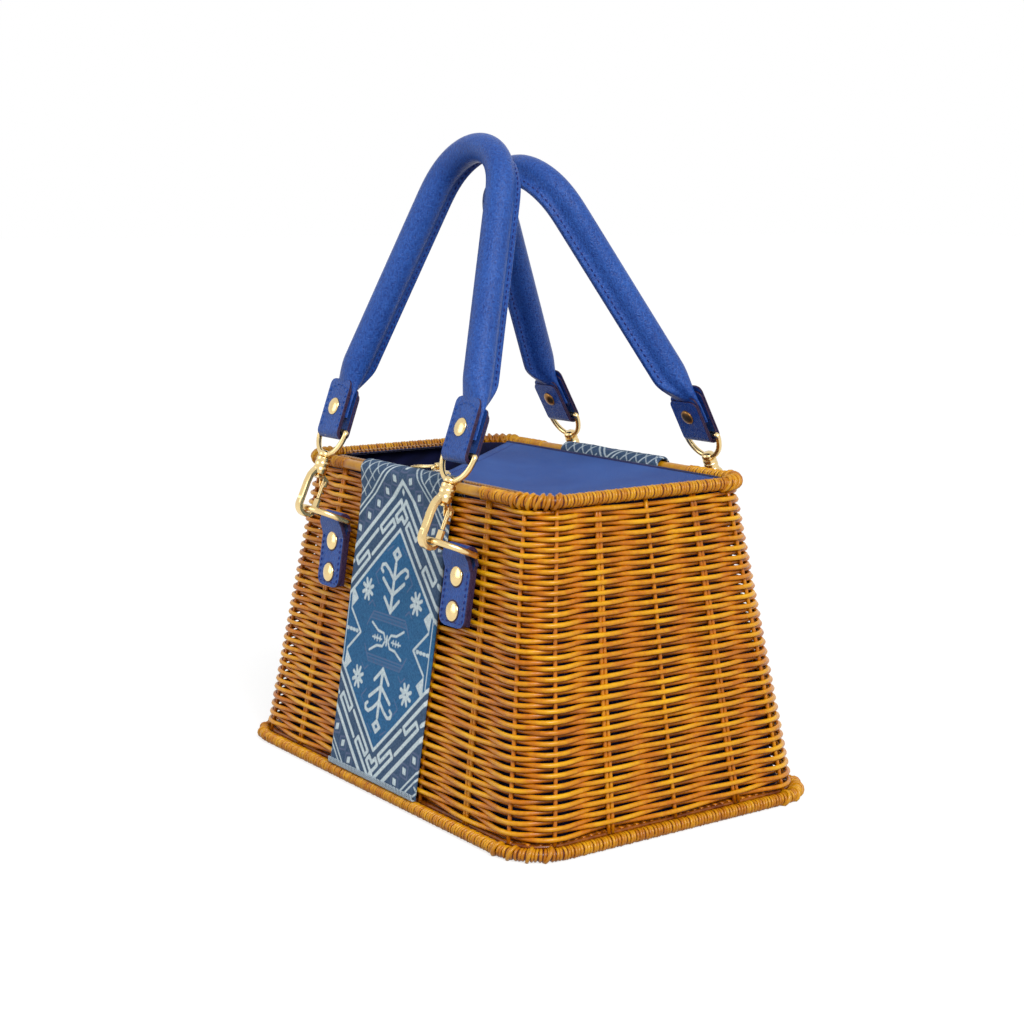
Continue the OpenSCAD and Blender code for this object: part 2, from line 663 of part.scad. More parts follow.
// The roll's section: [towards the middle of the bag, across], flat between the strap's layers
tube_r = tube_d / 2;
flange_t = 3;
round_section = concat(
  [[tube_r + flange, flange_t / 2], [tube_r * 0.9, flange_t / 2 + 0.4]],
  [for (a = [50:26:310]) [tube_r * cos(a), tube_r * sin(a)]],
  [[tube_r * 0.9, -flange_t / 2 - 0.4], [tube_r + flange, -flange_t / 2]]);
section_size = len(round_section);
flat_section = [for (i = [0:section_size - 1])
  let (a = 360 * (i + 0.5) / section_size) [flat_t / 2 * cos(a), 0.9 * end_w / 2 * sin(a)]];
function roundness(z) = min(max((z - end_length) / (1.2 * tube_d), 0), 1);

module roll(back) {
  m = len(roll_path);
  n = section_size;
  points = [for (i = [0:m - 1])
    let (p = roll_path[i],
      d = roll_path[min(i + 1, m - 1)] - roll_path[max(i - 1, 0)],
      across = [d[1], -d[0]] / norm(d),
      t = roundness(p[1]))
    for (k = [0:n - 1])
      let (s = mix(flat_section[k], round_section[k], t))
      [p[0] + across[0] * s[1], s[0], p[1] + across[1] * s[1]]];
  faces = concat(
    [for (i = [0:m - 2], k = [0:n - 1])
      each split([i * n + k, (i + 1) * n + k, (i + 1) * n + (k + 1) % n, i * n + (k + 1) % n])],
    [[for (k = [0:n - 1]) k], [for (k = [n - 1:-1:0]) (m - 1) * n + k]]);
  color(leather) at_handle(back) polyhedron(points = points, faces = faces, convexity = 4);
}
module front_handle_roll() { roll(false); }
module back_handle_roll() { roll(true); }

// Strap ends: leather folded round the eye's bar, riveted through the flat end of the roll
end_rivet_z = roll_foot + cap_d / 2 - 0.5;
module strap_end(back, side) {
  outside = end_gap + leather_t;
  color(leather) at_handle(back) translate([(back ? -1 : 1) * side * tab_x, 0, 0]) difference() {
    plate_yz(end_w) {
      difference() {
        circle(outside);
        circle(end_gap);
        translate([-2 * outside, 0]) square(4 * outside);
      }
      for (s = [-1, 1]) translate([s * (end_gap + leather_t / 2), end_length / 2])
        square([leather_t, end_length], center = true);
    }
    translate([0, 0, end_rivet_z]) rotate([90, 0, 0])
      cylinder(d = shank_d + 2 * run, h = 6 * outside, center = true);
  }
}
module front_handle_left_end() { strap_end(false, -1); }
module front_handle_right_end() { strap_end(false, 1); }
module back_handle_left_end() { strap_end(true, -1); }
module back_handle_right_end() { strap_end(true, 1); }

module end_rivets(back) {
  stack = 2 * (end_gap + leather_t);
  color(gold) at_handle(back) for (side = [-1, 1])
    translate([side * tab_x, -stack / 2, end_rivet_z]) rotate([90, 0, 0]) rivet(stack, cap_d, inner_cap_t);
}
module front_handle_rivets() { end_rivets(false); }
module back_handle_rivets() { end_rivets(true); }

woven_wall();
base_mat();
bottom_rim();
top_rim();
lining();
top_cover();
zip_tape();
front_strip();
back_strip();
front_left_tab();
front_right_tab();
back_left_tab();
back_right_tab();
tab_rivets();
front_left_ring();
front_right_ring();
back_left_ring();
back_right_ring();
front_left_hook();
front_right_hook();
back_left_hook();
back_right_hook();
front_left_gate();
front_right_gate();
back_left_gate();
back_right_gate();
front_left_gate_pin();
front_right_gate_pin();
back_left_gate_pin();
back_right_gate_pin();
front_left_eye();
front_right_eye();
back_left_eye();
back_right_eye();
front_handle_roll();
front_handle_left_end();
front_handle_right_end();
front_handle_rivets();
back_handle_roll();
back_handle_left_end();
back_handle_right_end();
back_handle_rivets();
zip_slider();
zip_pull();
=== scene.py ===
"""Looks of a woven basket bag with rolled leather handles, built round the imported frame.

Sizes are in millimetres and are turned into metres where a mesh is made.
The basket stands on z = 0 with its front strip towards -Y.
"""
import json
import math

import bpy
import numpy as np
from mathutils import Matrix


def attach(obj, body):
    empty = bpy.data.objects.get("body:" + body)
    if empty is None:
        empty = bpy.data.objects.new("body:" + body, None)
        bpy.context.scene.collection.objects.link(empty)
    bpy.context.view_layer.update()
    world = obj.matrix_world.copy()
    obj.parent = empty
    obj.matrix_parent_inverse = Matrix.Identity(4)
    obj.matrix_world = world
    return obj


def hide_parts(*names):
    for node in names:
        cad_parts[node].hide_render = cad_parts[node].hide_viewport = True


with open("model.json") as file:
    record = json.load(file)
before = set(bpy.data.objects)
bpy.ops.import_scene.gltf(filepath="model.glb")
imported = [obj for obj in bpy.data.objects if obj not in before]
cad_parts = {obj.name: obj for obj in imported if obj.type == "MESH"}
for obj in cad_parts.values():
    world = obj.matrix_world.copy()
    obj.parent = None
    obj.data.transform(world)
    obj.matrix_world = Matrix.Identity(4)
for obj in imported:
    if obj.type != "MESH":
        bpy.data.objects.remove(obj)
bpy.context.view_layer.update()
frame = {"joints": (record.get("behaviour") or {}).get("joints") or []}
joints = {j["name"]: j for j in frame["joints"]}
MM = 0.001
FAR = 99.0
UP = np.array([0.0, 0.0, 1.0])

# Basket sizes, as in the frame
HEIGHT = 160.0
BOTTOM = {"length": 271.0, "depth": 184.0, "corner": 27.0}
TOP = {"length": 216.0, "depth": 133.0, "corner": 20.0}
RIM_R = 3.5
FOOT_FLAT = 0.4
BASE_TOP = 2 * RIM_R - FOOT_FLAT
WEAVE_INSET = 6.3
ROD_R = 1.18
STAKE_R = 1.05
ROWS = 62
ROW_STEPS = 8
FIRST_ROW = 8.9
LAST_ROW = 151.2
WEAVE_OUT = 3.37
WEAVE_SHIFT = 0.35
FIT = 0.3

# Tabs, rings and hooks
TAB_X = 58.0
TAB_W = 22.0
TAB_LENGTH = 35.0
LEATHER_T = 2.0
RING_HEIGHT = 128.0
RING_WIRE = 1.5
RING_DEPTH = 18.5
RING_TILT = 24.0
HOOK_LEAN = 24.0
EYE_WIRE = 1.4
CAP_R = 4.8
RIVET_Z = (-11.3, -27.8)

# Handles
END_W = 20.0
END_LENGTH = 24.0
TUBE_R = 7.0
FLANGE = 4.5
ARCH_HEIGHT = 148.0
ARCH_R = 30.0
LEAN = {"front": 20.0, "back": 29.0}

STRIP_W = 82.0
SIDES = ("front", "back")
ENDS = {"left": -1, "right": 1}
CORNERS = [(side, end) for side in SIDES for end in ENDS]


# Small maths

def mix(a, b, t):
    return a + (b - a) * t


def smooth(t):
    t = np.clip(t, 0.0, 1.0)
    return t * t * (3 - 2 * t)


def unit(v):
    return v / np.maximum(np.linalg.norm(v, axis=-1, keepdims=True), 1e-12)


def xyz(*parts):
    """Points from two or three coordinates, where a single number holds for all of them."""
    return np.stack(np.broadcast_arrays(*parts), -1).astype(float)


def ripple(a, b, seed):
    """A soft, repeatable wave field of two coordinates, about -1 to 1."""
    total = 0.0
    for k in range(1, 5):
        phase = 1.7 * seed + 2.3 * k
        total = total + np.sin(a * (0.6 + 0.83 * k) + b * (0.9 - 0.37 * k) + phase) / k
    return total / 2.0


def lean_points(points, degrees, origin):
    """Turns local (x, y, z) by a lean towards the basket and sets it on an origin."""
    a = math.radians(degrees)
    x, y, z = points.T
    return xyz(x, y * math.cos(a) + z * math.sin(a), z * math.cos(a) - y * math.sin(a)) + origin


def to_side(points, side):
    """The back of the bag is the front turned half round."""
    return points if side == "front" else points * (-1, -1, 1)


def corner_x(side, end):
    return ENDS[end] * TAB_X * (1 if side == "front" else -1)


def to_corner(points, side, end):
    """Moves a front piece drawn about x = 0 to one of the four corners."""
    return to_side(points + (corner_x(side, end), 0, 0), side)


# Meshes

class Shape:
    """Points and faces that become one object, with material numbers and fields such as a tone with painted
    shade.
    """

    def __init__(self):
        self.points, self.faces, self.numbers, self.fields = [], [], [], {}
        self.count = 0

    def add(self, points, faces, number=0, **fields):
        """Adds a part; its material number is one for all its faces or one for each."""
        self.points.append(np.asarray(points, float))
        self.faces.extend([[i + self.count for i in f] for f in faces])
        self.numbers.extend(np.broadcast_to(number, len(faces)).tolist())
        for name, values in fields.items():
            values = np.broadcast_to(np.ravel(values), len(points))
            self.fields.setdefault(name, []).append((self.count, values))
        self.count += len(points)

    def build(self, name, materials, replaces=(), body="basket", move=None, sharp=None):
        """Makes the object; edges sharper than some degrees stay hard where that is given."""
        points = np.concatenate(self.points)
        if move:
            points = move(points)
        mesh = bpy.data.meshes.new(name)
        mesh.from_pydata((points * MM).tolist(), [], self.faces)
        for material in materials:
            mesh.materials.append(material)
        mesh.polygons.foreach_set("material_index", self.numbers)
        mesh.polygons.foreach_set("use_smooth", [True] * len(self.faces))
        for field, parts in self.fields.items():
            values = np.zeros(self.count, np.float32)
            for start, part in parts:
                values[start:start + len(part)] = part
            mesh.attributes.new(field, "FLOAT", "POINT").data.foreach_set("value", values)
        mesh.validate()
        mesh.update()
        if sharp:
            mesh.set_sharp_from_angle(angle=math.radians(sharp))
        piece = bpy.data.objects.new(name, mesh)
        bpy.context.scene.collection.objects.link(piece)
        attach(piece, body)
        if replaces:
            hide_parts(*replaces)
        return piece


def thicken(piece, thickness, offset=-1.0):
    solid = piece.modifiers.new("thickness", "SOLIDIFY")
    solid.thickness = thickness * MM
    solid.offset = offset


def grid_faces(rows, columns, close_rows=False, close_columns=False):
    faces = []
    for i in range(rows if close_rows else rows - 1):
        here, there = i * columns, (i + 1) % rows * columns
        for k in range(columns if close_columns else columns - 1):
            after = (k + 1) % columns
            faces.append([here + k, here + after, there + after, there + k])
    return faces


def tube_faces(rows, columns):
    """Faces between rings of points, with a cap on the first ring and then on the last."""
    last = (rows - 1) * columns
    caps = [list(range(columns))[::-1], [last + i for i in range(columns)]]
    return grid_faces(rows, columns, close_columns=True) + caps


def cross_directions(path, closed, up=None):
    """Two directions across a path at each point; with no up, they are carried along it."""
    if closed:
        tangent = unit(np.roll(path, -1, 0) - np.roll(path, 1, 0))
    else:
        tangent = unit(np.gradient(path, axis=0))
    if up is not None:
        side = unit(np.cross(tangent, np.asarray(up, float)))
        return side, np.cross(side, tangent)
    start = UP if abs(tangent[0][2]) < 0.9 else np.array([1.0, 0, 0])
    side = np.zeros_like(path)
    side[0] = unit(np.cross(tangent[0], start))
    for i in range(1, len(path)):
        side[i] = unit(side[i - 1] - tangent[i] * np.dot(side[i - 1], tangent[i]))
    return side, np.cross(side, tangent)


def skin(path, sections, side, over):
    """Points of the sections along a path, each set on two directions across it."""
    side, over = (np.broadcast_to(d, path.shape)[:, None] for d in (side, over))
    return (path[:, None] + sections[..., :1] * side + sections[..., 1:] * over).reshape(-1, 3)


def turns(count):
    return np.arange(count) * 2 * math.pi / count


def tube(path, radius, sides, closed=False, up=None):
    """A round rod along a path, with one radius or one for each point."""
    path = np.asarray(path, float)
    circle = xyz(np.cos(turns(sides)), np.sin(turns(sides)))
    sections = np.broadcast_to(circle * np.reshape(radius, (-1, 1, 1)), (len(path), sides, 2))
    faces = grid_faces(len(path), sides, True, True) if closed else tube_faces(len(path), sides)
    return skin(path, sections, *cross_directions(path, closed, up)), [f[::-1] for f in faces]


def lathe(profile, sides=28):
    """Turns (radius, z) points round Z, closed at both ends."""
    radius, z = np.hsplit(np.asarray(profile, float), 2)
    points = xyz(radius * np.cos(turns(sides)), radius * np.sin(turns(sides)), z)
    return points.reshape(-1, 3), tube_faces(len(profile), sides)


def arc(centre, radius, start, end, count):
    a = np.radians(np.linspace(start, end, count))
    return xyz(centre[0] + radius * np.cos(a), centre[1] + radius * np.sin(a))


def steps_of(path):
    return np.linalg.norm(np.diff(path, axis=0), axis=1)


def lengths_along(path):
    return np.concatenate([[0], np.cumsum(steps_of(path))])


def look_up(at, length, rows):
    """Rows of points or directions at given lengths along a path."""
    return xyz(*(np.interp(at, length, column) for column in rows.T))


def resample(path, count, closed=False):
    """Points at even steps along a path."""
    path = np.asarray(path, float)
    if closed:
        path = np.concatenate([path, path[:1]])
    length = lengths_along(path)
    return look_up(np.linspace(0, length[-1], count, endpoint=not closed), length, path)


def left_of(line):
    """Unit directions to the left of a line of (y, z) points."""
    turn = unit(np.gradient(line, axis=0))
    return xyz(-turn[:, 1], turn[:, 0])


def stitches(shape, path, normals, number, pitch=2.6, length=1.8, radius=0.34):
    """A row of short thread capsules lying on a path, sunk at both ends."""
    count = int(steps_of(path).sum() / pitch)
    even = resample(path, count)
    even_normals = unit(resample(np.broadcast_to(normals, path.shape), count))
    steps = np.linspace(-0.5, 0.5, 5)[:, None]
    for p, n, t in zip(even, even_normals, unit(np.gradient(even, axis=0))):
        line = p + steps * length * t + radius * (0.8 - 5.0 * steps ** 2) * n
        shape.add(*tube(line, radius * np.sqrt(1.05 - 3.6 * steps ** 2), 6), number)


# The basket's outline

def half_x(z):
    return mix(BOTTOM["length"], TOP["length"], z / HEIGHT) / 2


def half_y(z):
    return mix(BOTTOM["depth"], TOP["depth"], z / HEIGHT) / 2


def corner(z):
    return mix(BOTTOM["corner"], TOP["corner"], z / HEIGHT)


# A place runs from 0 to LAP round a rounded rectangle: one for each side, then one for its corner
LAP = 8


def rounded(place, hx, hy, r):
    """Points of a rounded rectangle and the directions outwards, both as complex numbers."""
    place = np.asarray(place, float) % LAP
    k = (place // 2).astype(int)
    a = place - 2 * k
    even = k % 2 == 0
    along = np.where(even, hx, hy) - r
    across = np.where(even, hy, hx) - r
    turn = np.radians(np.where(a > 1, (a - 2) * 90, -90))
    middle = np.where(a > 1, along, (2 * a - 1) * along) - 1j * across
    out = np.exp(1j * turn)
    spin = 1j ** k
    return (middle + r * out) * spin, out * spin


def outline(place, level, inset, z):
    """Points round the basket as it is at one level, moved inwards and set at height z."""
    p, _ = rounded(place, half_x(level) - inset, half_y(level) - inset, corner(level) - inset)
    return xyz(p.real, p.imag, z)


def wall(place, z, out=0.0):
    """Points on the middle of the weave at a height, moved outwards."""
    return outline(place, z, WEAVE_INSET - out, z)


PLACES = np.linspace(0, LAP, 1601)
PLACE_LENGTHS = lengths_along(wall(PLACES, HEIGHT / 2))
ROUND = PLACE_LENGTHS[-1]


def place_at(length):
    return np.interp(np.asarray(length) % ROUND, PLACE_LENGTHS, PLACES)


def find_stakes():
    """(length, half width) of each stake: pairs and singles in turn on the sides, two singles at a corner."""
    found = []
    for k, (count, spread) in enumerate([(5, 0.74), (3, 0.6), (5, 0.74), (3, 0.6)]):
        for i in range(count):
            at = spread * (2 * i / (count - 1) - 1)
            found.append((2 * k + (at + 1) / 2, (2 if i % 2 == 0 else 1) * STAKE_R))
        for degrees in (15, 75):
            found.append((2 * k + 1 + degrees / 90, STAKE_R))
    return [(np.interp(place, PLACES, PLACE_LENGTHS), width) for place, width in found]


STAKES = find_stakes()


# Materials

WHITE = (1.0, 1.0, 1.0, 1.0)
BLACK = (0.0, 0.0, 0.0, 1.0)


def srgb(r, g, b):
    """A screen colour, 0 to 255, as the linear colour that Blender takes."""
    c = np.array([r, g, b]) / 255
    linear = np.where(c <= 0.04045, c / 12.92, ((c + 0.055) / 1.055) ** 2.4)
    return (*linear, 1.0)


def darker(colour, share):
    return (*(share * c for c in colour[:3]), 1.0)


class Nodes:
    """A short way to write the nodes of a new material or world."""

    def __init__(self, owner):
        owner.use_nodes = True
        self.owner = owner
        self.tree = owner.node_tree
        self.shader = self.tree.nodes.get("Principled BSDF")

    def feed(self, socket, value):
        """Links another node's output to a socket, or sets a plain value on it."""
        if isinstance(value, bpy.types.NodeSocket):
            self.tree.links.new(value, socket)
        else:
            socket.default_value = value

    def node(self, kind, **values):
        """A new node, its inputs and settings given by name."""
        made = self.tree.nodes.new("ShaderNode" + kind)
        for key, value in values.items():
            socket = made.inputs.get(key.replace("_", " "))
            if socket is None:
                setattr(made, key, value)
            else:
                self.feed(socket, value)
        return made

    def set(self, **values):
        """Sets or links the shader's own sockets."""
        for key, value in values.items():
            self.feed(self.shader.inputs[key.replace("_", " ")], value)

    def coords(self, scale=(1, 1, 1), turn=(0, 0, 0)):
        where = self.node("TexCoord").outputs["Object"]
        return self.node("Mapping", Vector=where, Scale=scale, Rotation=turn).outputs["Vector"]

    def noise(self, scale, detail=3.0, rough=0.5, stretch=(1, 1, 1), turn=(0, 0, 0)):
        made = self.node("TexNoise", Scale=scale, Detail=detail, Roughness=rough,
                         Vector=self.coords(stretch, turn))
        return made.outputs["Fac"]

    def wave(self, scale, turn, bend):
        made = self.node("TexWave", Scale=scale, Distortion=bend, Detail=1.0, Detail_Scale=1.5,
                         Vector=self.coords(turn=turn))
        return made.outputs["Fac"]

    def field(self, name):
        return self.node("Attribute", attribute_name=name).outputs["Fac"]

    def maths(self, operation, *values):
        made = self.node("Math", operation=operation)
        for socket, value in zip(made.inputs, values):
            self.feed(socket, value)
        return made.outputs[0]

    def plus(self, a, b, share):
        """a with a share of b added."""
        return self.maths("ADD", a, self.maths("MULTIPLY", b, share))

    def weigh(self, a, a_share, b, b_share):
        return self.plus(self.maths("MULTIPLY", a, a_share), b, b_share)

    def stray(self, a, noise, share):
        """a moved up and down by a share of a noise."""
        return self.plus(a, self.maths("SUBTRACT", noise, 0.5), share)

    def ramp(self, value, *stops):
        made = self.node("ValToRGB", Fac=value)
        elements = made.color_ramp.elements
        for element, stop in zip((elements[0], elements[1]), (stops[0], stops[-1])):
            element.position, element.color = stop
        for position, colour in stops[1:-1]:
            elements.new(position).color = colour
        return made.outputs["Color"]

    def blend(self, share, a, b):
        made = self.node("Mix", data_type="RGBA")
        for number, value in zip((0, 6, 7), (share, a, b)):
            self.feed(made.inputs[number], value)
        return made.outputs[2]

    def rough(self, value, low, high):
        self.set(Roughness=self.node("MapRange", Value=value, To_Min=low, To_Max=high).outputs[0])

    def bump(self, height, distance, strength):
        self.set(Normal=self.node("Bump", Height=height, Distance=distance, Strength=strength).outputs[0])

    def seen_directly(self):
        """1 for what the camera sees, also in a mirror or through glass, and 0 for light on the object."""
        ray = self.node("LightPath").outputs
        seen = self.maths("MAXIMUM", ray["Is Camera Ray"], ray["Is Glossy Ray"])
        return self.maths("MAXIMUM", seen, ray["Is Transmission Ray"])


def new_material(name):
    return Nodes(bpy.data.materials.new(name))


def cane_material(name, deep, mid, bright):
    """Varnished cane: tone and painted shade from the weave, long streaks, a clear gloss."""
    n = new_material(name)
    streaks = n.noise(420, 2.0, 0.6)
    tone = n.stray(n.stray(n.field("tone"), n.noise(55, 2.0), 0.6), streaks, 0.4)
    n.rough(streaks, 0.24, 0.42)
    n.bump(streaks, 0.00025, 0.5)
    n.set(Base_Color=n.ramp(tone, (0.0, deep), (0.55, mid), (1.0, bright)),
          Coat_Weight=0.10, Coat_Roughness=0.15, Specular_IOR_Level=0.32)
    return n.owner


def leather_material(name, dark, light):
    """Cross-grained leather: two crossed sets of fine ridges broken by noise."""
    n = new_material(name)
    grain = n.noise(1300, 2.0, 0.5, (1, 1, 0.35), (0.5, 0.3, 0.8))
    cross = n.noise(1300, 2.0, 0.5, (1, 0.35, 1), (-0.6, 0.4, -0.7))
    both = n.maths("MAXIMUM", grain, cross)
    shade = n.weigh(both, 0.82, n.noise(40, 3.0), 0.18)
    n.rough(both, 0.26, 0.46)
    n.bump(both, 0.0008, 0.7)
    n.set(Base_Color=n.ramp(shade, (0.38, dark), (0.68, light)), Specular_IOR_Level=0.2)
    return n.owner


def cloth_material(name, dark, light, pitch, sheen):
    """Plain weave: two crossed thread waves with soft mottling."""
    n = new_material(name)
    threads = n.maths("ADD", n.wave(pitch, (0, 0, 0.02), 0.6), n.wave(pitch, (0, 0, math.pi / 2), 0.6))
    mottle = n.noise(30, 4.0)
    n.rough(mottle, 0.7, 0.9)
    n.bump(threads, 0.0002, 0.5)
    n.set(Base_Color=n.ramp(n.weigh(threads, 0.2, mottle, 0.6), (0.36, dark), (0.66, light)),
          Sheen_Weight=sheen, Sheen_Roughness=0.4, Specular_IOR_Level=0.2)
    return n.owner


def brocade_material():
    """Two-colour brocade: the pattern's distance fields pick the yarn, crossed by fine twill lines."""
    n = new_material("brocade")
    twill = n.wave(900, (0.5, 0.8, 0.6), 0.4)
    fleck = n.noise(900, 2.0, 0.6)
    mottle = n.weigh(fleck, 0.7, twill, 0.3)

    def inside(field):
        edge = n.stray(n.field(field), fleck, 0.7)
        return n.ramp(n.maths("MULTIPLY_ADD", edge, -0.9, 0.5), (0.3, BLACK), (0.7, WHITE))

    def yarn(dark, light):
        return n.ramp(mottle, (0.3, srgb(*dark)), (0.7, srgb(*light)))

    ground = n.blend(n.field("border"), yarn((28, 76, 120), (60, 120, 168)),
                     yarn((36, 60, 92), (80, 106, 136)))
    ground = n.blend(n.maths("MULTIPLY", inside("faint"), 0.5), ground, srgb(118, 124, 158))
    n.rough(mottle, 0.62, 0.85)
    n.bump(n.plus(twill, fleck, 0.6), 0.0003, 0.6)
    n.set(Base_Color=n.blend(inside("pale"), ground, yarn((172, 194, 204), (234, 244, 246))),
          Specular_IOR_Level=0.2)
    return n.owner


def metal_material(name, colour, low, high):
    n = new_material(name)
    wear = n.noise(220, 4.0)
    n.rough(n.noise(700, 2.0, 0.5, (1, 1, 0.2)), low, high)
    n.bump(wear, 0.0003, 0.12)
    n.set(Base_Color=n.ramp(wear, (0.2, darker(colour, 0.86)), (0.8, colour)), Metallic=1.0)
    return n.owner


def thread_material(name, colour):
    n = new_material(name)
    twist = n.wave(700, (0.7, 0.7, 0.3), 0.5)
    n.bump(twist, 0.0003, 0.6)
    n.set(Base_Color=n.ramp(twist, (0.0, darker(colour, 0.6)), (1.0, colour)), Roughness=0.6)
    return n.owner


# The darkest cane colour: the painted shade on recessed rods, on the base's border rods and on the rim cores
# between the winding's turns goes towards it.
DEEP_SHADE = srgb(84, 26, 2)
CANE = cane_material("cane", DEEP_SHADE, srgb(192, 110, 0), srgb(232, 172, 16))
RIM_CANE = cane_material("rim_cane", DEEP_SHADE, srgb(180, 108, 0), srgb(226, 168, 22))
LEATHER = leather_material("blue_leather", srgb(22, 52, 122), srgb(48, 92, 172))
EDGE = leather_material("leather_edge", srgb(34, 22, 46), srgb(62, 44, 74))
COVER = cloth_material("cover_cloth", srgb(36, 70, 142), srgb(58, 98, 174), 1100, 0.04)
LINING = cloth_material("lining_cloth", srgb(10, 14, 44), srgb(22, 28, 74), 900, 0.02)
PIPING = cloth_material("piping", srgb(12, 16, 52), srgb(30, 40, 100), 1400, 0.1)
BROCADE = brocade_material()
GOLD = metal_material("gold", srgb(236, 208, 150), 0.12, 0.3)
BRONZE = metal_material("old_bronze", srgb(150, 108, 62), 0.25, 0.45)
BLUE_THREAD = thread_material("blue_thread", srgb(8, 28, 116))
PALE_THREAD = thread_material("pale_thread", srgb(176, 192, 204))
LEATHERS = [LEATHER, EDGE, BLUE_THREAD]


# Weave

def row_wander(length, z, row):
    """How far a row strays up or down: neighbours stray together, most under the top rim."""
    turn = length / ROUND * 2 * math.pi
    near_top = smooth((z - 118) / 30)
    near_foot = smooth((34 - z) / 24)
    together = ripple(turn * 3, z / 30, 1) * (0.35 + 0.35 * near_top + 0.2 * near_foot)
    return together + ripple(turn * 5, row * 2.7, row % 7) * 0.25


def row_path(row):
    """A rod's path over and under the stakes, its depth from -1 to 1 and its length along the wall."""
    z = mix(FIRST_ROW, LAST_ROW, row / (ROWS - 1))
    swing = STAKE_R + ROD_R - 0.67
    along, depth = [], []
    for i, (at, width) in enumerate(STAKES):
        after, next_width = STAKES[(i + 1) % len(STAKES)]
        span = (after - at) % ROUND
        bare = span - 0.7 * (width + next_width)
        side = 1 if (i + row) % 2 == 0 else -1
        for t in np.arange(ROW_STEPS) / ROW_STEPS:
            u = min(max((t * span - 0.7 * width) / bare, 0), 1)
            along.append(at + t * span)
            depth.append(side * math.cos(math.pi * u))
    along, depth = np.array(along), np.array(depth)
    path = wall(place_at(along), z + row_wander(along, z, row), swing * depth + WEAVE_SHIFT)
    return path, depth, along


def make_weave():
    for name, first in (("woven_rods_odd", 0), ("woven_rods_even", 1)):
        shape = Shape()
        for row in range(first, ROWS, 2):
            path, depth, along = row_path(row)
            stain = 0.12 * ripple(along / 23, row * 1.3, row % 5)
            # The 0.20 * depth term is painted shade: a rod is lighter where it passes in front of a stake and
            # darker where it goes behind one.
            tone = 0.58 + 0.20 * depth + stain + 0.07 * math.sin(row * 2.4)
            radius = ROD_R * (1 + 0.06 * ripple(along / 31, row * 0.9, row % 3))
            shape.add(*tube(path, radius, 8, closed=True, up=UP), tone=np.repeat(tone, 8))
        shape.build(name, [CANE], ["woven_wall"] if first == 0 else [])


def make_stake_rods():
    shape = Shape()
    heights = np.linspace(BASE_TOP - 1.0, HEIGHT - 2 * RIM_R + 1.2, 24)
    for number, (length, width) in enumerate(STAKES):
        tone = 0.55 + 0.10 * math.sin(number * 1.9)
        sway = 0.25 * np.sin(heights / 19 + number)
        for shift in (-STAKE_R, STAKE_R) if width > STAKE_R else (0.0,):
            path = wall(place_at(length + shift + sway), heights, WEAVE_SHIFT)
            shape.add(*tube(path, STAKE_R * 0.96, 8, up=(1, 0.3, 0)), tone=tone)
    shape.build("stake_rods", [CANE])


# Rims: a core rod wound with fine cane

CANE_R = 0.77
WOUND_R = 3.25
TURN_PITCH = 1.78
BARE_HALF = 62.0
KNOT_R = 0.95


def rim_line(z, sizes):
    """Points, outward directions and lengths along a rim's middle line, back to its start."""
    p, out = rounded(np.linspace(0, LAP, 1201), sizes["length"] / 2 - RIM_R, sizes["depth"] / 2 - RIM_R,
                     sizes["corner"] - RIM_R)
    points = xyz(p.real, p.imag, z)
    return points, xyz(out.real, out.imag, 0), lengths_along(points)


def winding(line, start, end, seed):
    """One helix of cane along part of a rim, its turns a little uneven, and its tone, with painted light on
    the top of each turn.
    """
    points, outward, length = line
    laps = (end - start) / TURN_PITCH
    t = np.linspace(0, 1, int(laps * 10))
    s = start + (end - start) * t + 0.2 * np.sin(37 * t * laps / 9 + seed)
    angle = 2 * math.pi * laps * t + 0.25 * np.sin(t * laps * 1.3 + seed)
    at = s % length[-1]
    outer = unit(look_up(at, length, outward))
    reach = (WOUND_R - CANE_R + 0.10 * np.sin(t * laps * 2.1 + seed))[:, None]
    turned = np.cos(angle)[:, None] * outer + np.sin(angle)[:, None] * UP
    band_tone = 0.07 * np.sin(t * laps * 0.9 + seed) + 0.07 * np.sin(np.floor(t * laps) * 2.9 + seed)
    # The 0.08 * sin(angle) term is painted light: each turn of cane is lighter on top and darker underneath.
    return look_up(at, length, points) + reach * turned, 0.66 + band_tone + 0.08 * np.sin(angle)


def knots(shape, line, number):
    """Looser slanting turns that lie over the winding at each corner."""
    points, outward, _ = line
    reach = RIM_R - 0.3
    a = turns(14)[:, None]
    for k in range(4):
        for i in range(number):
            place = 2 * k + 1.05 + 0.9 * i / number
            at = int(place / LAP * (len(points) - 1))
            along = np.cross(UP, outward[at])
            slant = 0.45 + 0.12 * math.sin(2.7 * i + k)
            ring = points[at] + reach * (np.cos(a) * outward[at] + np.sin(a) * (UP + slant * along))
            shape.add(*tube(ring, KNOT_R, 6, closed=True, up=along), tone=0.7 + 0.1 * math.sin(i + k))


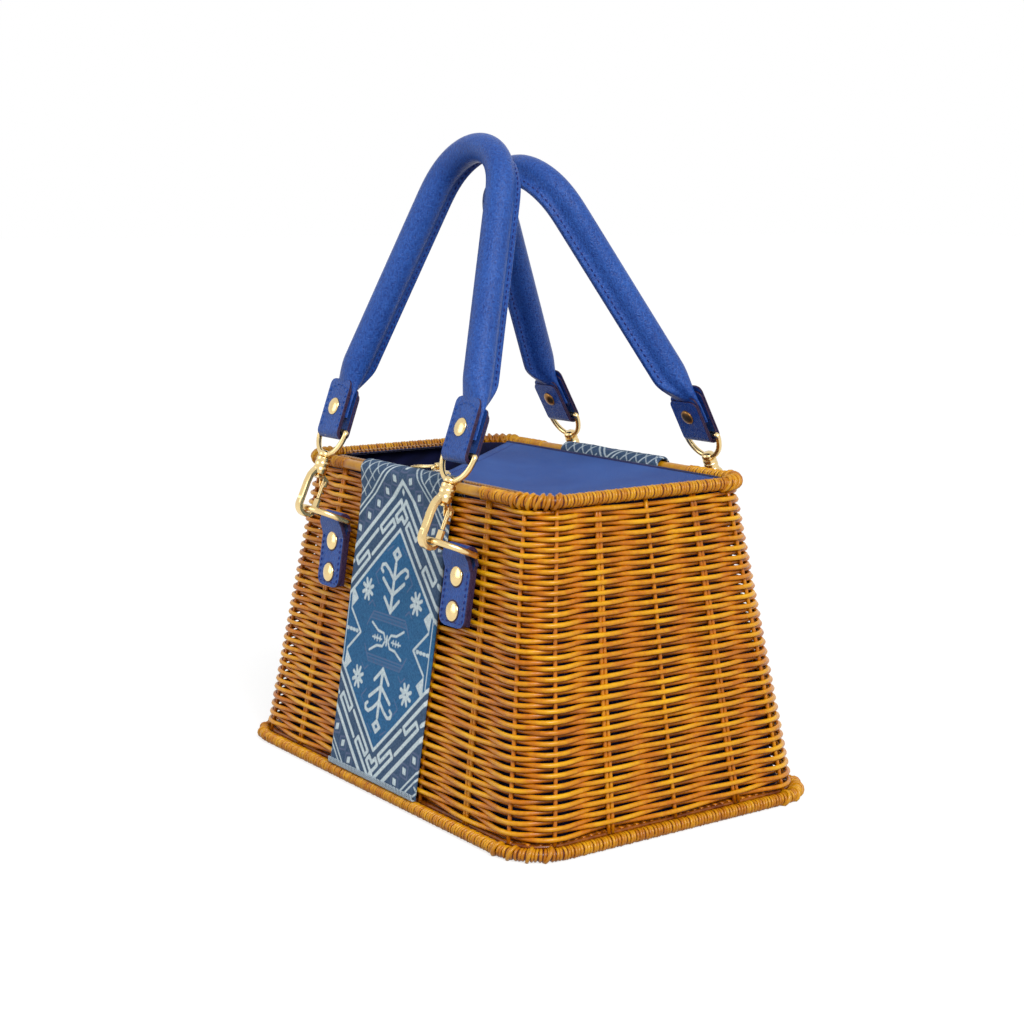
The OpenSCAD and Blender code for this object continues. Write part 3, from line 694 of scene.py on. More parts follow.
def make_rim(where, z, sizes, bare_middle):
    """A wound rim; with a bare middle, plain rod shows on the long sides where the strips cross it."""
    line = rim_line(z, sizes)
    points, _, length = line
    half_way = length[-1] / 2
    spans = [(0, 2 * half_way)]
    if bare_middle:
        straight = sizes["length"] / 2 - sizes["corner"]
        start, end = straight + BARE_HALF, half_way + straight - BARE_HALF
        spans = [(start, end), (half_way + start, half_way + end)]
    core = points[:-1:4]
    long_side = np.abs(core[:, 1]) > sizes["depth"] / 2 - 2 * RIM_R
    bare = bare_middle & long_side & (np.abs(core[:, 0]) < BARE_HALF + 1)
    core_r = WOUND_R - (0.6 if bare_middle else 0.8)
    shape = Shape()
    # Where the core is bare it has a plain cane tone; under the winding it has the darkest tone, painted
    # shade that shows in the gaps between the turns.
    shape.add(*tube(core, core_r, 12, closed=True, up=UP), tone=np.repeat(np.where(bare, 0.72, 0.0), 12))
    for number, (start, end) in enumerate(spans):
        path, tone = winding(line, start, end, number + 0.7)
        shape.add(*tube(path, CANE_R, 6), tone=np.repeat(tone, 6))
    knots(shape, line, 6 if bare_middle else 4)
    shape.build(f"{where}_rim_winding", [RIM_CANE], [f"{where}_rim"],
                move=lambda q: np.maximum(q, (-math.inf, -math.inf, 0.0)))


MAT_PITCH = 2.2


def make_mat():
    """The floor of the basket from below: rods woven over cross ribs, inside a border of three rods."""
    shape = Shape()
    half_length = BOTTOM["length"] / 2 - 2 * RIM_R - FIT
    half_depth = BOTTOM["depth"] / 2 - 2 * RIM_R - FIT
    round_r = BOTTOM["corner"] - 2 * RIM_R
    ribs = np.linspace(-0.9, 0.9, 11) * half_length
    count = int(half_depth / MAT_PITCH)
    middle = BASE_TOP - 1.6
    for i in range(-count, count + 1):
        y = i * MAT_PITCH
        over = max(abs(y) - (half_depth - round_r), 0)
        end = half_length - round_r + math.sqrt(max(round_r ** 2 - over ** 2, 0)) - 0.4
        x = np.linspace(-end, end, 67)
        wave = np.interp(x, ribs, [1 if (k + i) % 2 else -1 for k in range(len(ribs))])
        path = xyz(x, y, middle - 0.9 * np.sin(wave * math.pi / 2))
        shape.add(*tube(path, 1.15, 6, up=UP), tone=0.45 + 0.1 * math.sin(i * 1.7))
    around = np.linspace(0, LAP, 160, endpoint=False)
    for inset in (0.9, 3.4, 5.9):
        p, _ = rounded(around, half_length - inset, half_depth - inset, round_r - inset)
        border = xyz(p.real, p.imag, middle + 0.15 * inset)
        # The border rods' low tone is painted shade, darker where they sit under the foot of the weave.
        shape.add(*tube(border, 1.45, 8, closed=True, up=UP), tone=0.18)
    for x in ribs:
        y = np.linspace(-1, 1, 12) * (half_depth - 3 - max(abs(x) - (half_length - round_r), 0) * 0.6)
        shape.add(*tube(xyz(x, y, middle), 1.2, 6, up=UP), tone=0.4)
    shape.build("base_rods", [CANE], ["base_mat"])


make_weave()
make_stake_rods()
make_rim("bottom", RIM_R - FOOT_FLAT, BOTTOM, False)
make_rim("top", HEIGHT - RIM_R, TOP, True)
make_mat()


# Brocade strips: figures are drawn in one quarter of the pattern, as (across, along) from its middle

STRIP_STEP = 0.7
PATTERN_MIDDLE = 70.5
PATTERN_STRETCH = 1.065
LOZENGE = 52.0
SLOPE = 0.9
BUD = (0, 40.5)
STAR = [[np.array([22.5, 21.0]) + r * np.array([math.cos(a), math.sin(a)]) for r in (0.3 * 4.9, 4.9)]
        for a in np.radians(45 * np.arange(8) + 22.5)]
DOTS = [[(x - 0.5, 0), (x + 0.5, 0)] for x in (28.5, 31.5, 34.5, 37.5)]

# Lines of the plant, the star and the small figures, by half width
FIGURES = {
    1.1: [[(0, 13.5), (0, 36)]],
    0.9: [[(0, 13.5), (6.6, 19.5)], [(0, 21.5), (9.6, 28)]] + DOTS + STAR,
    0.85: [[(0, 28.5), (5, 32.6), (9, 34.8), (11.6, 34.2), (12.2, 32.2), (10.4, 31)]],
    0.65: [[(24.6, 0), (36, 9.6)]],
    0.6: [[(0, 0), (0, 2.2)], [(1.6, 0.6), (3.4, 3.1), (8.4, 3.5), (14.6, 6.6)]],
    0.45: [[(4.5, 0), (13, 0)], [(6, 0), (6, 1.1)], [(8.5, 0), (8.5, 1.4)], [(11, 0), (11, 1.0)]],
    0.4: [[(39, 0), (39, 16.5)]]}
FAINT_LINES = {0.35: [
    *([(0, h), (17 - 1.2 * i, h), (19.5 - 1.2 * i, h - 4)] for i, h in enumerate((8.6, 10.2, 11.8))),
    [(13, 25), (17, 29), (13, 33)], [(4, 44), (9, 41)], [(14, 14), (17, 16.5), (20, 14)]]}

# The fret runs along the lozenge's edge, on three bars outside it
LOW, MID, HIGH = 4.3, 7.8, 11.4
FRET = {0.95: [
    [(-4.2, LOW), (0, LOW), (0, MID), (-6.5, MID), (-7.4, HIGH), (13.5, HIGH), (13.5, MID),
     (2.8, MID), (2.8, LOW), (26.2, LOW)],
    [(16.3, HIGH), (39.7, HIGH), (39.7, MID), (29.0, MID), (29.0, LOW), (52.4, LOW)],
    [(42.5, HIGH), (65.9, HIGH)]]}


def strip_profile():
    """The strip's outer line in (y, z), from its foot up the wall, over the rim and inside."""
    stand = WEAVE_INSET - WEAVE_OUT - FIT - 1.0
    wrap = RIM_R + FIT + 1.0
    rim_y = TOP["depth"] / 2 - RIM_R
    rim_z = HEIGHT - RIM_R
    flat = [[-half_y(z) + stand, z] for z in (BASE_TOP + FIT, 146.0)]
    tail = [[-rim_y + wrap, rim_z - 1.5 * RIM_R]]
    return np.concatenate([flat, arc((-rim_y, rim_z), wrap, 180, 0, 20), tail])


def strokes(points, lines):
    """Distance outside a set of lines, given by their half widths."""
    nearest = np.full(points.shape[:-1], FAR)
    for half, group in lines.items():
        for a, b in (pair for line in group for pair in zip(line[:-1], line[1:])):
            a, d = np.asarray(a, float), np.subtract(b, a).astype(float)
            t = np.clip(((points - a) @ d) / (d @ d), 0, 1)
            nearest = np.minimum(nearest, np.linalg.norm(points - a - t[..., None] * d, axis=-1) - half)
    return nearest


def diamond(points, centre, w, h):
    d = np.abs(points - np.asarray(centre, float))
    return (d[..., 0] / w + d[..., 1] / h - 1) * min(w, h) * 0.75


def triangle(points, corners):
    """Distance outside a triangle whose corners run counter-clockwise."""
    nearest = np.full(points.shape[:-1], -FAR)
    for a, b in zip(corners, corners[1:] + corners[:1]):
        d = unit(np.subtract(b, a).astype(float))
        nearest = np.maximum(nearest, (points - np.asarray(a, float)) @ np.array([d[1], -d[0]]))
    return nearest


def pattern(across, along):
    """Distances outside the pale and the faint figures, and the share of the border's ground."""
    u, v = np.abs(across), np.abs(along - PATTERN_MIDDLE) / PATTERN_STRETCH
    p = xyz(u, v)
    scale = math.hypot(1, SLOPE)
    t = (SLOPE * u + v - LOZENGE) / scale
    s = (u - SLOPE * (v - LOZENGE)) / scale
    cell = xyz((s + 5) % 10 - 5, t - 22.0)
    bud = np.maximum(diamond(p, BUD, 4.4, 3.8), -diamond(p, BUD, 1.5, 1.2))
    leaf = triangle(p, [(30.5, 15.2), (36.6, 9.8), (37.4, 21.0)])
    inside = np.minimum.reduce([strokes(p, FIGURES), bud, leaf])
    trellis = np.minimum(np.abs((s + 3) % 6 - 3), np.abs((t - 33) % 5 - 2.5)) - 0.35
    pale = np.minimum.reduce([
        np.where(t > -0.8, FAR, inside), np.abs(t) - 0.8, np.abs(t - 16.6) - 1.1, strokes(xyz(s, t), FRET),
        diamond(p, (0, LOZENGE + 13.0 * scale), 1.3, 2.2), diamond(cell, (0, 0), 1.9, 2.5),
        np.abs(t - 28.0) - 0.5, np.abs(t - 30.6) - 0.5, np.where(t > 32, trellis, FAR)])
    cell_frame = np.abs(diamond(cell, (0, 0), 4.1, 4.6)) - 0.4
    faint = np.minimum(strokes(p, FAINT_LINES), np.where(t > 17.6, cell_frame, FAR))
    return pale, faint, smooth((t - 0.4) / 0.6)


def make_strip(side):
    profile = strip_profile()
    total = steps_of(profile).sum()
    rows, columns = int(total / STRIP_STEP), int(STRIP_W / STRIP_STEP) + 1
    line = resample(profile, rows)
    normal = left_of(line)
    a, b = np.meshgrid(np.linspace(-STRIP_W / 2, STRIP_W / 2, columns), np.linspace(0, total, rows))
    pale, faint, border = pattern(a, b)
    puff = 0.25 + 0.22 * ripple(a / 16, b / 19, 3)
    hem = smooth((STRIP_W / 2 - np.abs(a)) / 1.4) * smooth(b / 1.4)
    lift = (puff + 0.14 * smooth(0.5 - pale)) * hem + 0.5 * (hem - 1)
    y, z = (line[:, None, k] + normal[:, None, k] * lift for k in (0, 1))
    shape = Shape()
    shape.add(to_side(xyz(a, y, z).reshape(-1, 3), side), grid_faces(rows, columns),
              pale=pale, faint=faint, border=border)
    piece = shape.build(f"{side}_brocade", [BROCADE], [f"{side}_strip"])
    thicken(piece, 0.7)
    edging = Shape()
    for k, x in enumerate(np.arange(-STRIP_W / 2 + 1.2, STRIP_W / 2 - 0.8, 1.5)):
        slant = 0.9 if k % 2 else 0.55
        loop = [(x - slant, *(line[3] + (-0.75, 0.6))), (x - 0.3, *(line[1] + (-0.95, 0))),
                (x + 0.3, *(line[0] + (-0.55, -0.2))), (x + slant, *(line[0] + (0.45, 0.1)))]
        edging.add(*tube(resample(loop, 7), 0.42, 6))
    sewing = edging.build(f"{side}_overcast", [PALE_THREAD], move=lambda q: to_side(q, side))


for side_name in SIDES:
    make_strip(side_name)


# Leather bands

BAND_STEP = 0.6
BAND_ACROSS = 7


def band(shape, line, width, thickness):
    """A leather band along a line of (y, z), with a half width for each point and painted edges."""
    normal = left_of(line)
    t, bevel = thickness / 2, min(0.45, thickness / 4)
    inner = np.linspace(-1, 1, BAND_ACROSS)
    section = [(x, 0.0, t) for x in inner] + [(1.0, 1.0, t - bevel), (1.0, 1.0, -t + bevel)]
    section += [(x, 0.0, -t) for x in inner[::-1]] + [(-1.0, 1.0, -t + bevel), (-1.0, 1.0, t - bevel)]
    share, edge, off = np.array(section).T
    x = share * (width[:, None] - bevel) + share * bevel * edge
    y, z = (line[:, k:k + 1] + normal[:, k:k + 1] * off for k in (0, 1))
    n = len(section)
    faces = tube_faces(len(line), n)
    edges = {*range(BAND_ACROSS - 1, BAND_ACROSS + 2), *range(2 * BAND_ACROSS + 1, n)}
    painted = [int(i % n in edges) for i in range(len(faces) - 2)] + [1, 1]
    shape.add(xyz(x, y, z).reshape(-1, 3), faces, painted)
    return normal


def tongue(length, total, half, radius, both=False):
    """Half width along a band whose far end is rounded, or both ends."""
    def ease(distance):
        short = np.clip(radius - distance, 0, radius)
        return half - radius + np.sqrt(np.maximum(radius ** 2 - short ** 2, 0.0))
    width = ease(total - length)
    return np.minimum(width, ease(length)) if both else width


def even_line(*parts):
    """Even points on a line made of parts, the length to each point and the whole length."""
    path = np.concatenate(parts)
    total = steps_of(path).sum()
    count = int(total / BAND_STEP)
    return resample(path, count), np.linspace(0, total, count), total


def face_stitches(shape, line, normal, inset, lift, number):
    """Stitch rows along both edges of a band's face, on the side that its normals point to."""
    y, z = (line + normal * lift).T
    for sign in (-1, 1):
        stitches(shape, xyz(sign * inset, y, z), xyz(0, *normal.T), number, length=0.68 * 2.6)


FACE_LEAN = math.degrees(math.atan((BOTTOM["depth"] - TOP["depth"]) / 2 / HEIGHT))
TAB_SEAT = WEAVE_OUT + FIT
LOOP_R = RING_WIRE + FIT
WALL_AT = (0.0, -(half_y(RING_HEIGHT) - WEAVE_INSET), RING_HEIGHT)
TAB_BACK = -TAB_SEAT - LEATHER_T / 2
TAB_FRONT = TAB_BACK - LEATHER_T - 0.35
TAB_FACE = TAB_FRONT - LEATHER_T / 2

# A rivet cap's outline: shares of its radius, and heights
CAP_PROFILE = [(1.0, 0.0), (1.02, 0.35), (0.97, 0.75), (0.86, 1.05), (0.62, 1.45), (0.32, 1.68), (0.02, 1.75)]


def facing(points, out):
    """Turns what stands along Z to stand along -Y, or along Y where out is -1."""
    x, y, z = points.T
    return xyz(x, -out * z, out * y)


def rivet(at, out, radius):
    """A domed cap with a rolled edge, standing on a point."""
    points, faces = lathe(np.array(CAP_PROFILE) * (radius, 1))
    return facing(points, out) + at, faces


def tab_shape():
    """A strap doubled over the ring's bar: a wide plaque in front and a narrower tail behind."""
    turn_r = LOOP_R + LEATHER_T / 2
    back_leg = [[TAB_BACK + 0.1, -TAB_LENGTH + 1.5], [TAB_BACK + 0.1, -6.0]]
    over = arc((-TAB_SEAT - LOOP_R - LEATHER_T, 0.0), turn_r, 20, 200, 26)
    front_leg = [[TAB_FRONT, -8.5], [TAB_FRONT, -TAB_LENGTH]]
    line, length, total = even_line(back_leg, over, front_leg)
    half = TAB_W / 2
    bend = np.abs(length - (TAB_LENGTH - 1.5 + turn_r * 1.2))
    width = tongue(length, total, half, 5.0) - 2.0 * (1 - smooth((bend - 4) / 5))
    width = np.where(length < TAB_LENGTH - 7, np.minimum(width, half - 1.2), width)
    shape = Shape()
    normal = band(shape, line, width, LEATHER_T)
    sewn = slice(int(np.argmax(length > total - TAB_LENGTH + 10)), -6)
    face_stitches(shape, line[sewn], -normal[sewn], half - 2.2, LEATHER_T / 2, 2)
    low_row = xyz(np.linspace(-half + 4, half - 4, 6), TAB_FACE, -TAB_LENGTH + 2.2)
    stitches(shape, low_row, (0, -1, 0), 2)
    return shape


def make_tabs():
    tab = tab_shape()
    caps, shade_discs = Shape(), Shape()
    # Under each rivet cap, a thin flat disc of the dark edge colour shows as a ring round the cap: painted
    # shade where the rivet presses into the leather.
    shade_disc, shade_disc_faces = lathe([(CAP_R + 0.7, 0.0), (CAP_R + 0.6, 0.08), (0.02, 0.1)])
    for side, end in CORNERS:
        def place(points):
            return to_corner(lean_points(points, FACE_LEAN, WALL_AT), side, end)

        tab.build(f"{side}_{end}_tab_leather", LEATHERS, [f"{side}_{end}_tab"], move=place, sharp=40)
        for z in RIVET_Z:
            shade_discs.add(place(facing(shade_disc, 1) + (0, TAB_FACE, z)), shade_disc_faces)
            for y, out, radius in ((TAB_FACE + 0.05, 1, CAP_R), (WEAVE_OUT + 0.2, -1, CAP_R * 0.8)):
                points, faces = rivet((0, y, z), out, radius)
                caps.add(place(points), faces)
    caps.build("tab_rivet_caps", [GOLD], ["tab_rivets"], sharp=50)
    shade_discs.build("tab_rivet_shade_discs", [EDGE])


make_tabs()


# Rings, hooks, gates and eyes, drawn about x = 0 in their own leaning frames

THROAT = 3.4
BOW_T = 2.6
BOW_MIDDLE = THROAT + BOW_T / 2
HOOK_T = 4.6
BOW_Z = THROAT - RING_WIRE - 0.7
PIVOT_Z = 14.5
HOOK_TIP = 6.0
BARREL_FOOT = 20.0
BARREL_TOP = 27.0
COLLAR_Z = BARREL_TOP + FIT
EYE_HALF = END_W / 2 + 3 * FIT + EYE_WIRE
EYE_Z = COLLAR_Z + 3 - EYE_WIRE + EYE_HALF
CHEEK = [(2.2, 18.4), (4.2, 17.4), (5.9, 16.2), (6.2, 14.4), (5.4, 12.7), (4.2, 12.6),
         (3.4, 14.2), (2.6, 16.6)]
BARREL = [(2.0, 17.6), (3.3, 18.3), (3.7, 19.6), (3.6, BARREL_FOOT + 1.4), (3.2, 22.0), (3.6, 22.7),
          (3.6, 24.2), (3.2, 24.8), (3.6, 25.4), (3.5, 26.7), (3.1, BARREL_TOP), (1.6, BARREL_TOP)]
COLLAR = [(1.5, 16.2), (2.4, 16.4), (2.4, 17.0), (1.45, 17.3), (1.45, COLLAR_Z - 0.2), (3.0, COLLAR_Z),
          (3.4, COLLAR_Z + 0.4), (3.4, COLLAR_Z + 1.6), (2.8, COLLAR_Z + 2.6), (1.8, COLLAR_Z + 3.2)]


def joint_at(name):
    """A joint's place in millimetres, turned back to the front of the bag and to x = 0."""
    _, y, z = (v / MM for v in joints[name]["pos_m"])
    return 0.0, -abs(y), z


def d_outline(half, bow_at, corner_at, corner_r, count):
    """A D lying on its back: a half circle below and two small corners above."""
    return np.concatenate([arc((-half + corner_r, corner_at), corner_r, 90, 180, count),
                           arc((0, bow_at), half, 180, 360, 40),
                           arc((half - corner_r, corner_at), corner_r, 0, 90, count)])


def ring_shape():
    half = TAB_W / 2 + 1 + RING_WIRE
    x, y = d_outline(half, half - RING_DEPTH, -1.2, 1.2, 5).T
    shape = Shape()
    shape.add(*tube(resample(xyz(x, y, 0), 110, closed=True), RING_WIRE, 12, closed=True, up=UP))
    return shape


def hook_section(width, depth, ribs):
    """A bar's section, (across the hook's plate, out of its bow), with ribs along its outer face."""
    half, d, r = width / 2, depth / 2, 0.55
    x = np.linspace(-half + r, half - r, 9)
    ribbed = xyz(x, d - ribs * 0.32 * (0.5 + 0.5 * np.cos(4 * math.pi * x / (half - r))))
    rest = [(half, d - r), (half, -d + r), (half - r, -d), (-half + r, -d), (-half, -d + r)]
    return np.concatenate([[(-half, d - r)], ribbed, rest])


def hook_shape():
    spine = [(-1.6, BARREL_FOOT + 0.6), (-3.0, 18.8), (-4.2, 16.4), (-BOW_MIDDLE, 12.0), (-BOW_MIDDLE, 6.0)]
    bow = arc((0, BOW_Z), BOW_MIDDLE, 180, 360, 22)
    tip = [(BOW_MIDDLE, HOOK_TIP - 1.6), (BOW_MIDDLE, HOOK_TIP)]
    y, z = resample(np.concatenate([spine, bow, tip]), 70).T
    path = xyz(0, y, z)
    s = np.linspace(0, 1, len(path))
    ribs = smooth((s - 0.04) / 0.1) * (1 - smooth((s - 0.4) / 0.12))
    width = HOOK_T * (1 - 0.16 * smooth((s - 0.55) / 0.4))
    depth = BOW_T * (1 - 0.12 * smooth((s - 0.6) / 0.4))
    sections = np.array([hook_section(*each) for each in zip(width, depth, ribs)])
    across = np.array([1.0, 0, 0])
    out = np.cross(unit(np.gradient(path, axis=0)), across)
    shape = Shape()
    shape.add(skin(path, sections, across, out), tube_faces(len(path), sections.shape[1]))
    shape.add(*lathe(BARREL))
    for x in (-1.9, 1.9):
        cheek = np.concatenate([xyz(x + d, *np.transpose(CHEEK)) for d in (-0.42, 0.42)])
        shape.add(cheek, tube_faces(2, len(CHEEK)))
    cap, cap_faces = lathe([(1.25, 0), (1.15, 0.3), (0.6, 0.5), (0.02, 0.55)], 14)
    for sign in (-1, 1):
        turned = xyz(sign * (cap[:, 2] + 2.45), cap[:, 0] + BOW_MIDDLE, cap[:, 1] + PIVOT_Z)
        shape.add(turned, cap_faces if sign < 0 else [f[::-1] for f in cap_faces])
    return shape


def gate_shape():
    """The gate's rod down from its pin, and the nub that a thumb pushes."""
    rod = xyz(0, BOW_MIDDLE, [PIVOT_Z + 0.9, PIVOT_Z - 2, PIVOT_Z - 5, HOOK_TIP + FIT + 0.1])
    nub = xyz(0, BOW_MIDDLE + np.array([0.4, 1.3, 2.2, 2.6]), [10.0, 10.1, 10.3, 10.4])
    shape = Shape()
    shape.add(*tube(resample(rod, 14), np.linspace(1.15, 0.95, 14), 12, up=(1, 0, 0)))
    shape.add(*tube(nub, [1.2, 1.15, 1.0, 0.5], 12, up=(1, 0, 0)))
    return shape


def eye_shape():
    x, z = d_outline(EYE_HALF, EYE_Z, EYE_Z - 0.1, 1.0, 4).T
    shape = Shape()
    path = resample(xyz(x, 0, z - 0.45), 96, closed=True)
    shape.add(*tube(path, EYE_WIRE, 12, closed=True, up=(0, 1, 0)))
    shape.add(*lathe(COLLAR))
    return shape


# Each piece of a corner: its name, body, the nodes it stands for, shape, joint, lean and hard edges
HARDWARE = [("ring_wire", "ring", ["ring"], ring_shape(), "ring_swing", RING_TILT, None),
            ("snap_hook", "hook", ["hook", "gate_pin"], hook_shape(), "hook_swing", HOOK_LEAN, 42),
            ("gate_rod", "gate", ["gate"], gate_shape(), "hook_swing", HOOK_LEAN, 50),
            ("swivel_eye", "eye", ["eye"], eye_shape(), "hook_swing", HOOK_LEAN, 45)]


def make_hardware(side, end):
    where = f"{side}_{end}"
    for name, body, nodes, shape, joint, lean, sharp in HARDWARE:
        at = joint_at(f"{where}_{joint}")
        shape.build(f"{where}_{name}", [GOLD], [f"{where}_{node}" for node in nodes], f"{where}_{body}",
                    lambda q: to_corner(lean_points(q, lean, at), side, end), sharp)


for side_name, end_name in CORNERS:
    make_hardware(side_name, end_name)


# Handles, drawn as (x, towards the other handle, up) from the eyes' bars

END_GAP = EYE_WIRE + 0.4
ROLL_FOOT = END_GAP + 6
LEG_Z = END_LENGTH + 3
PLY = LEATHER_T / 2 - 0.06
ROLL_SIDES = 44


def roll_line():
    """The roll's middle line in (x, z), from the right foot over the arch to the left foot, eased."""
    arch_z = ARCH_HEIGHT - ARCH_R
    rise = LEG_Z - arch_z
    turn = math.degrees(math.atan2(rise, TAB_X) + math.acos(ARCH_R / math.hypot(TAB_X, rise)))
    right = np.array([[TAB_X, ROLL_FOOT], [TAB_X, END_LENGTH - 6], [TAB_X - 0.6, LEG_Z]])
    over = arc((0, arch_z), ARCH_R, turn, 180 - turn, 48)
    path = resample(np.concatenate([right, over, right[::-1] * (-1, 1)]), 150)
    for _ in range(6):
        path[1:-1] = 0.25 * path[:-2] + 0.5 * path[1:-1] + 0.25 * path[2:]
    return path


def roll_section(roundness):
    """Section of the roll as (towards the other handle, across): a tube with a pressed flange."""
    lip, root = 1.45, 2.3
    tip = TUBE_R + FLANGE
    start = math.degrees(math.asin(root / TUBE_R)) + 8
    top = np.array([(TUBE_R + 0.3, root - 0.25), (TUBE_R + 1.4, lip + 0.15), (TUBE_R + 2.8, lip),
                    (tip - 0.4, lip), (tip, lip - 0.35), (tip, 0.25), (tip - 0.25, 0.1)])
    around = arc((0, 0), TUBE_R, start, 360 - start, ROLL_SIDES - 2 * len(top))
    full = np.concatenate([top[::-1], around, top * (1, -1)])
    a = np.radians(360 * (np.arange(ROLL_SIDES) + 0.5) / ROLL_SIDES)
    return mix(xyz((END_GAP - 0.15) * np.cos(a), 0.46 * END_W * np.sin(a)), full, roundness)


def roll_shape():
    """The rolled leather, its painted seam along the flange and a row of stitches on both sides of it."""
    x, z = roll_line().T
    path = xyz(x, 0, z)
    roundness = smooth((z - END_LENGTH + 9) / (3.2 * TUBE_R))
    inward = np.array([0, 1.0, 0])
    across = np.cross(inward, unit(np.gradient(path, axis=0)))
    sections = np.array([roll_section(r) for r in roundness])
    faces = tube_faces(len(path), ROLL_SIDES)
    seam = [int(i % ROLL_SIDES == ROLL_SIDES - 1) for i in range(len(faces) - 2)] + [0, 0]
    shape = Shape()
    shape.add(skin(path, sections, inward, across), faces, seam)
    sewn = roundness > 0.97
    for sign in (-1, 1):
        row = path + (TUBE_R + 2.2) * inward + sign * 1.5 * across
        stitches(shape, row[sewn], sign * across[sewn], 2, 3.0, 1.9, 0.36)
    return shape


def strap_shape():
    """Two thin leather layers folded round the eye's bar, with a longer tongue outside, and its face."""
    shape = Shape()
    for layer, tip in ((0, 0.0), (1, 2.5)):
        radius = END_GAP + PLY / 2 + layer * (PLY + 0.1)
        inside = [[radius, END_LENGTH - 1 - 2 * layer], [radius, 1.0]]
        outside = [[-radius, 1.0], [-radius, END_LENGTH + tip]]
        line, length, total = even_line(inside, arc((0, 0), radius, 0, -180, 18), outside)
        half = END_W / 2 - 0.25 * (1 - layer)
        normal = band(shape, line, tongue(length, total, half, 3.5, both=True), PLY)
    face = -radius - PLY / 2
    sewn = slice(int(np.argmax(length > total - END_LENGTH)), -9)
    face_stitches(shape, line[sewn], normal[sewn], half - 1.9, PLY / 2, 0)
    x, z = arc((0, END_LENGTH + tip - 8.0), half - 1.9, 160, 20, 14).T
    bow = xyz(x, face, mix(END_LENGTH + tip - 8.0, z, 0.62))
    stitches(shape, bow, (0, -1, 0), 0)
    return shape, face


def make_handles():
    roll = roll_shape()
    strap, face = strap_shape()
    rivet_z = ROLL_FOOT + CAP_R - 0.5
    for side in SIDES:
        body = f"{side}_handle"
        at = joint_at(f"{body}_swing")

        def place(points):
            return to_side(lean_points(points, LEAN[side], at), side)

        roll.build(f"{body}_leather", LEATHERS, [f"{body}_roll"], body, place, 50)
        caps = Shape()
        for end in ENDS:
            shift = np.array([corner_x(side, end), 0, 0])
            strap.build(f"{body}_{end}_strap", LEATHERS, [f"{body}_{end}_end"], body,
                        lambda q: place(q + shift), 40)
            caps.add(*rivet(shift + (0, face + 0.05, rivet_z), 1, CAP_R * 0.92), 0)
            caps.add(*rivet(shift + (0, -face - 0.05, rivet_z), -1, CAP_R * 0.8), 1)
        caps.build(f"{body}_rivet_caps", [GOLD, BRONZE], [f"{body}_rivets"], body, place, 50)


make_handles()


# Cloth inside: lining, cover and zip

MOUTH_Z = HEIGHT - RIM_R - 0.5
MOUTH_INSET = 2 * RIM_R + 1 + 2 * FIT
LINING_T = 1.2
COVER_INSET = MOUTH_INSET + LINING_T + FIT
LINING_INSET = WEAVE_INSET + WEAVE_OUT + 1.8
FLARE_Z = RING_HEIGHT + 12
SLIDER_X = 10.0


def make_lining():
    place = np.linspace(0, LAP, 160, endpoint=False)
    floor = BASE_TOP + FIT
    levels = [(z, z, LINING_INSET) for z in np.linspace(floor, FLARE_Z, 22)]
    levels += [(mix(FLARE_Z, MOUTH_Z, t), mix(FLARE_Z, HEIGHT, t), mix(LINING_INSET, MOUTH_INSET, t))
               for t in (0.34, 0.67, 1.0)]
    rings = []
    for z, level, inset in levels:
        slack = smooth((z - floor) / 10) * smooth((FLARE_Z - z) / 20)
        fold = 0.5 * (1 + ripple(place * 3, z / 40, 5)) * slack
        rings.append(outline(place, level, inset + 1.2 * fold, z))
    shape = Shape()
    shape.add(np.concatenate(rings), tube_faces(len(rings), len(place))[:-1])
    piece = shape.build("lining_bag", [LINING], ["lining"])
    thicken(piece, LINING_T)


COVER_X = TOP["length"] / 2 - COVER_INSET
COVER_Y = TOP["depth"] / 2 - COVER_INSET
COVER_R = TOP["corner"] - COVER_INSET
COVER_Z = MOUTH_Z - FIT
COVER_SAG = 6.0
HEM_BACK = -(COVER_X - COVER_R)


def cover_points(u, v):
    """The cover's upper face: shares across it from its hem to the near end, and from front to back."""
    u, v = np.broadcast_arrays(u, v)
    y = mix(-COVER_Y, COVER_Y, v)
    inside = np.maximum(np.abs(y) - (COVER_Y - COVER_R), 0)
    end = COVER_X - COVER_R + np.sqrt(np.maximum(COVER_R ** 2 - inside ** 2, 0))
    hem = mix(SLIDER_X, HEM_BACK, (y + COVER_Y) / (2 * COVER_Y))
    free = np.sin(math.pi * u) * np.sin(math.pi * v)
    pull = 0.6 * 0.9 * free * ripple(u * 5 + v * 2, v * 4 - u * 1.5, 2)
    crease = 0.8 * np.exp(-((u * 0.7 + v - 1.05) / 0.035) ** 2) * np.sin(math.pi * v) * (1 - u)
    return xyz(mix(hem, end, u), y, COVER_Z - COVER_SAG * free + pull + crease)


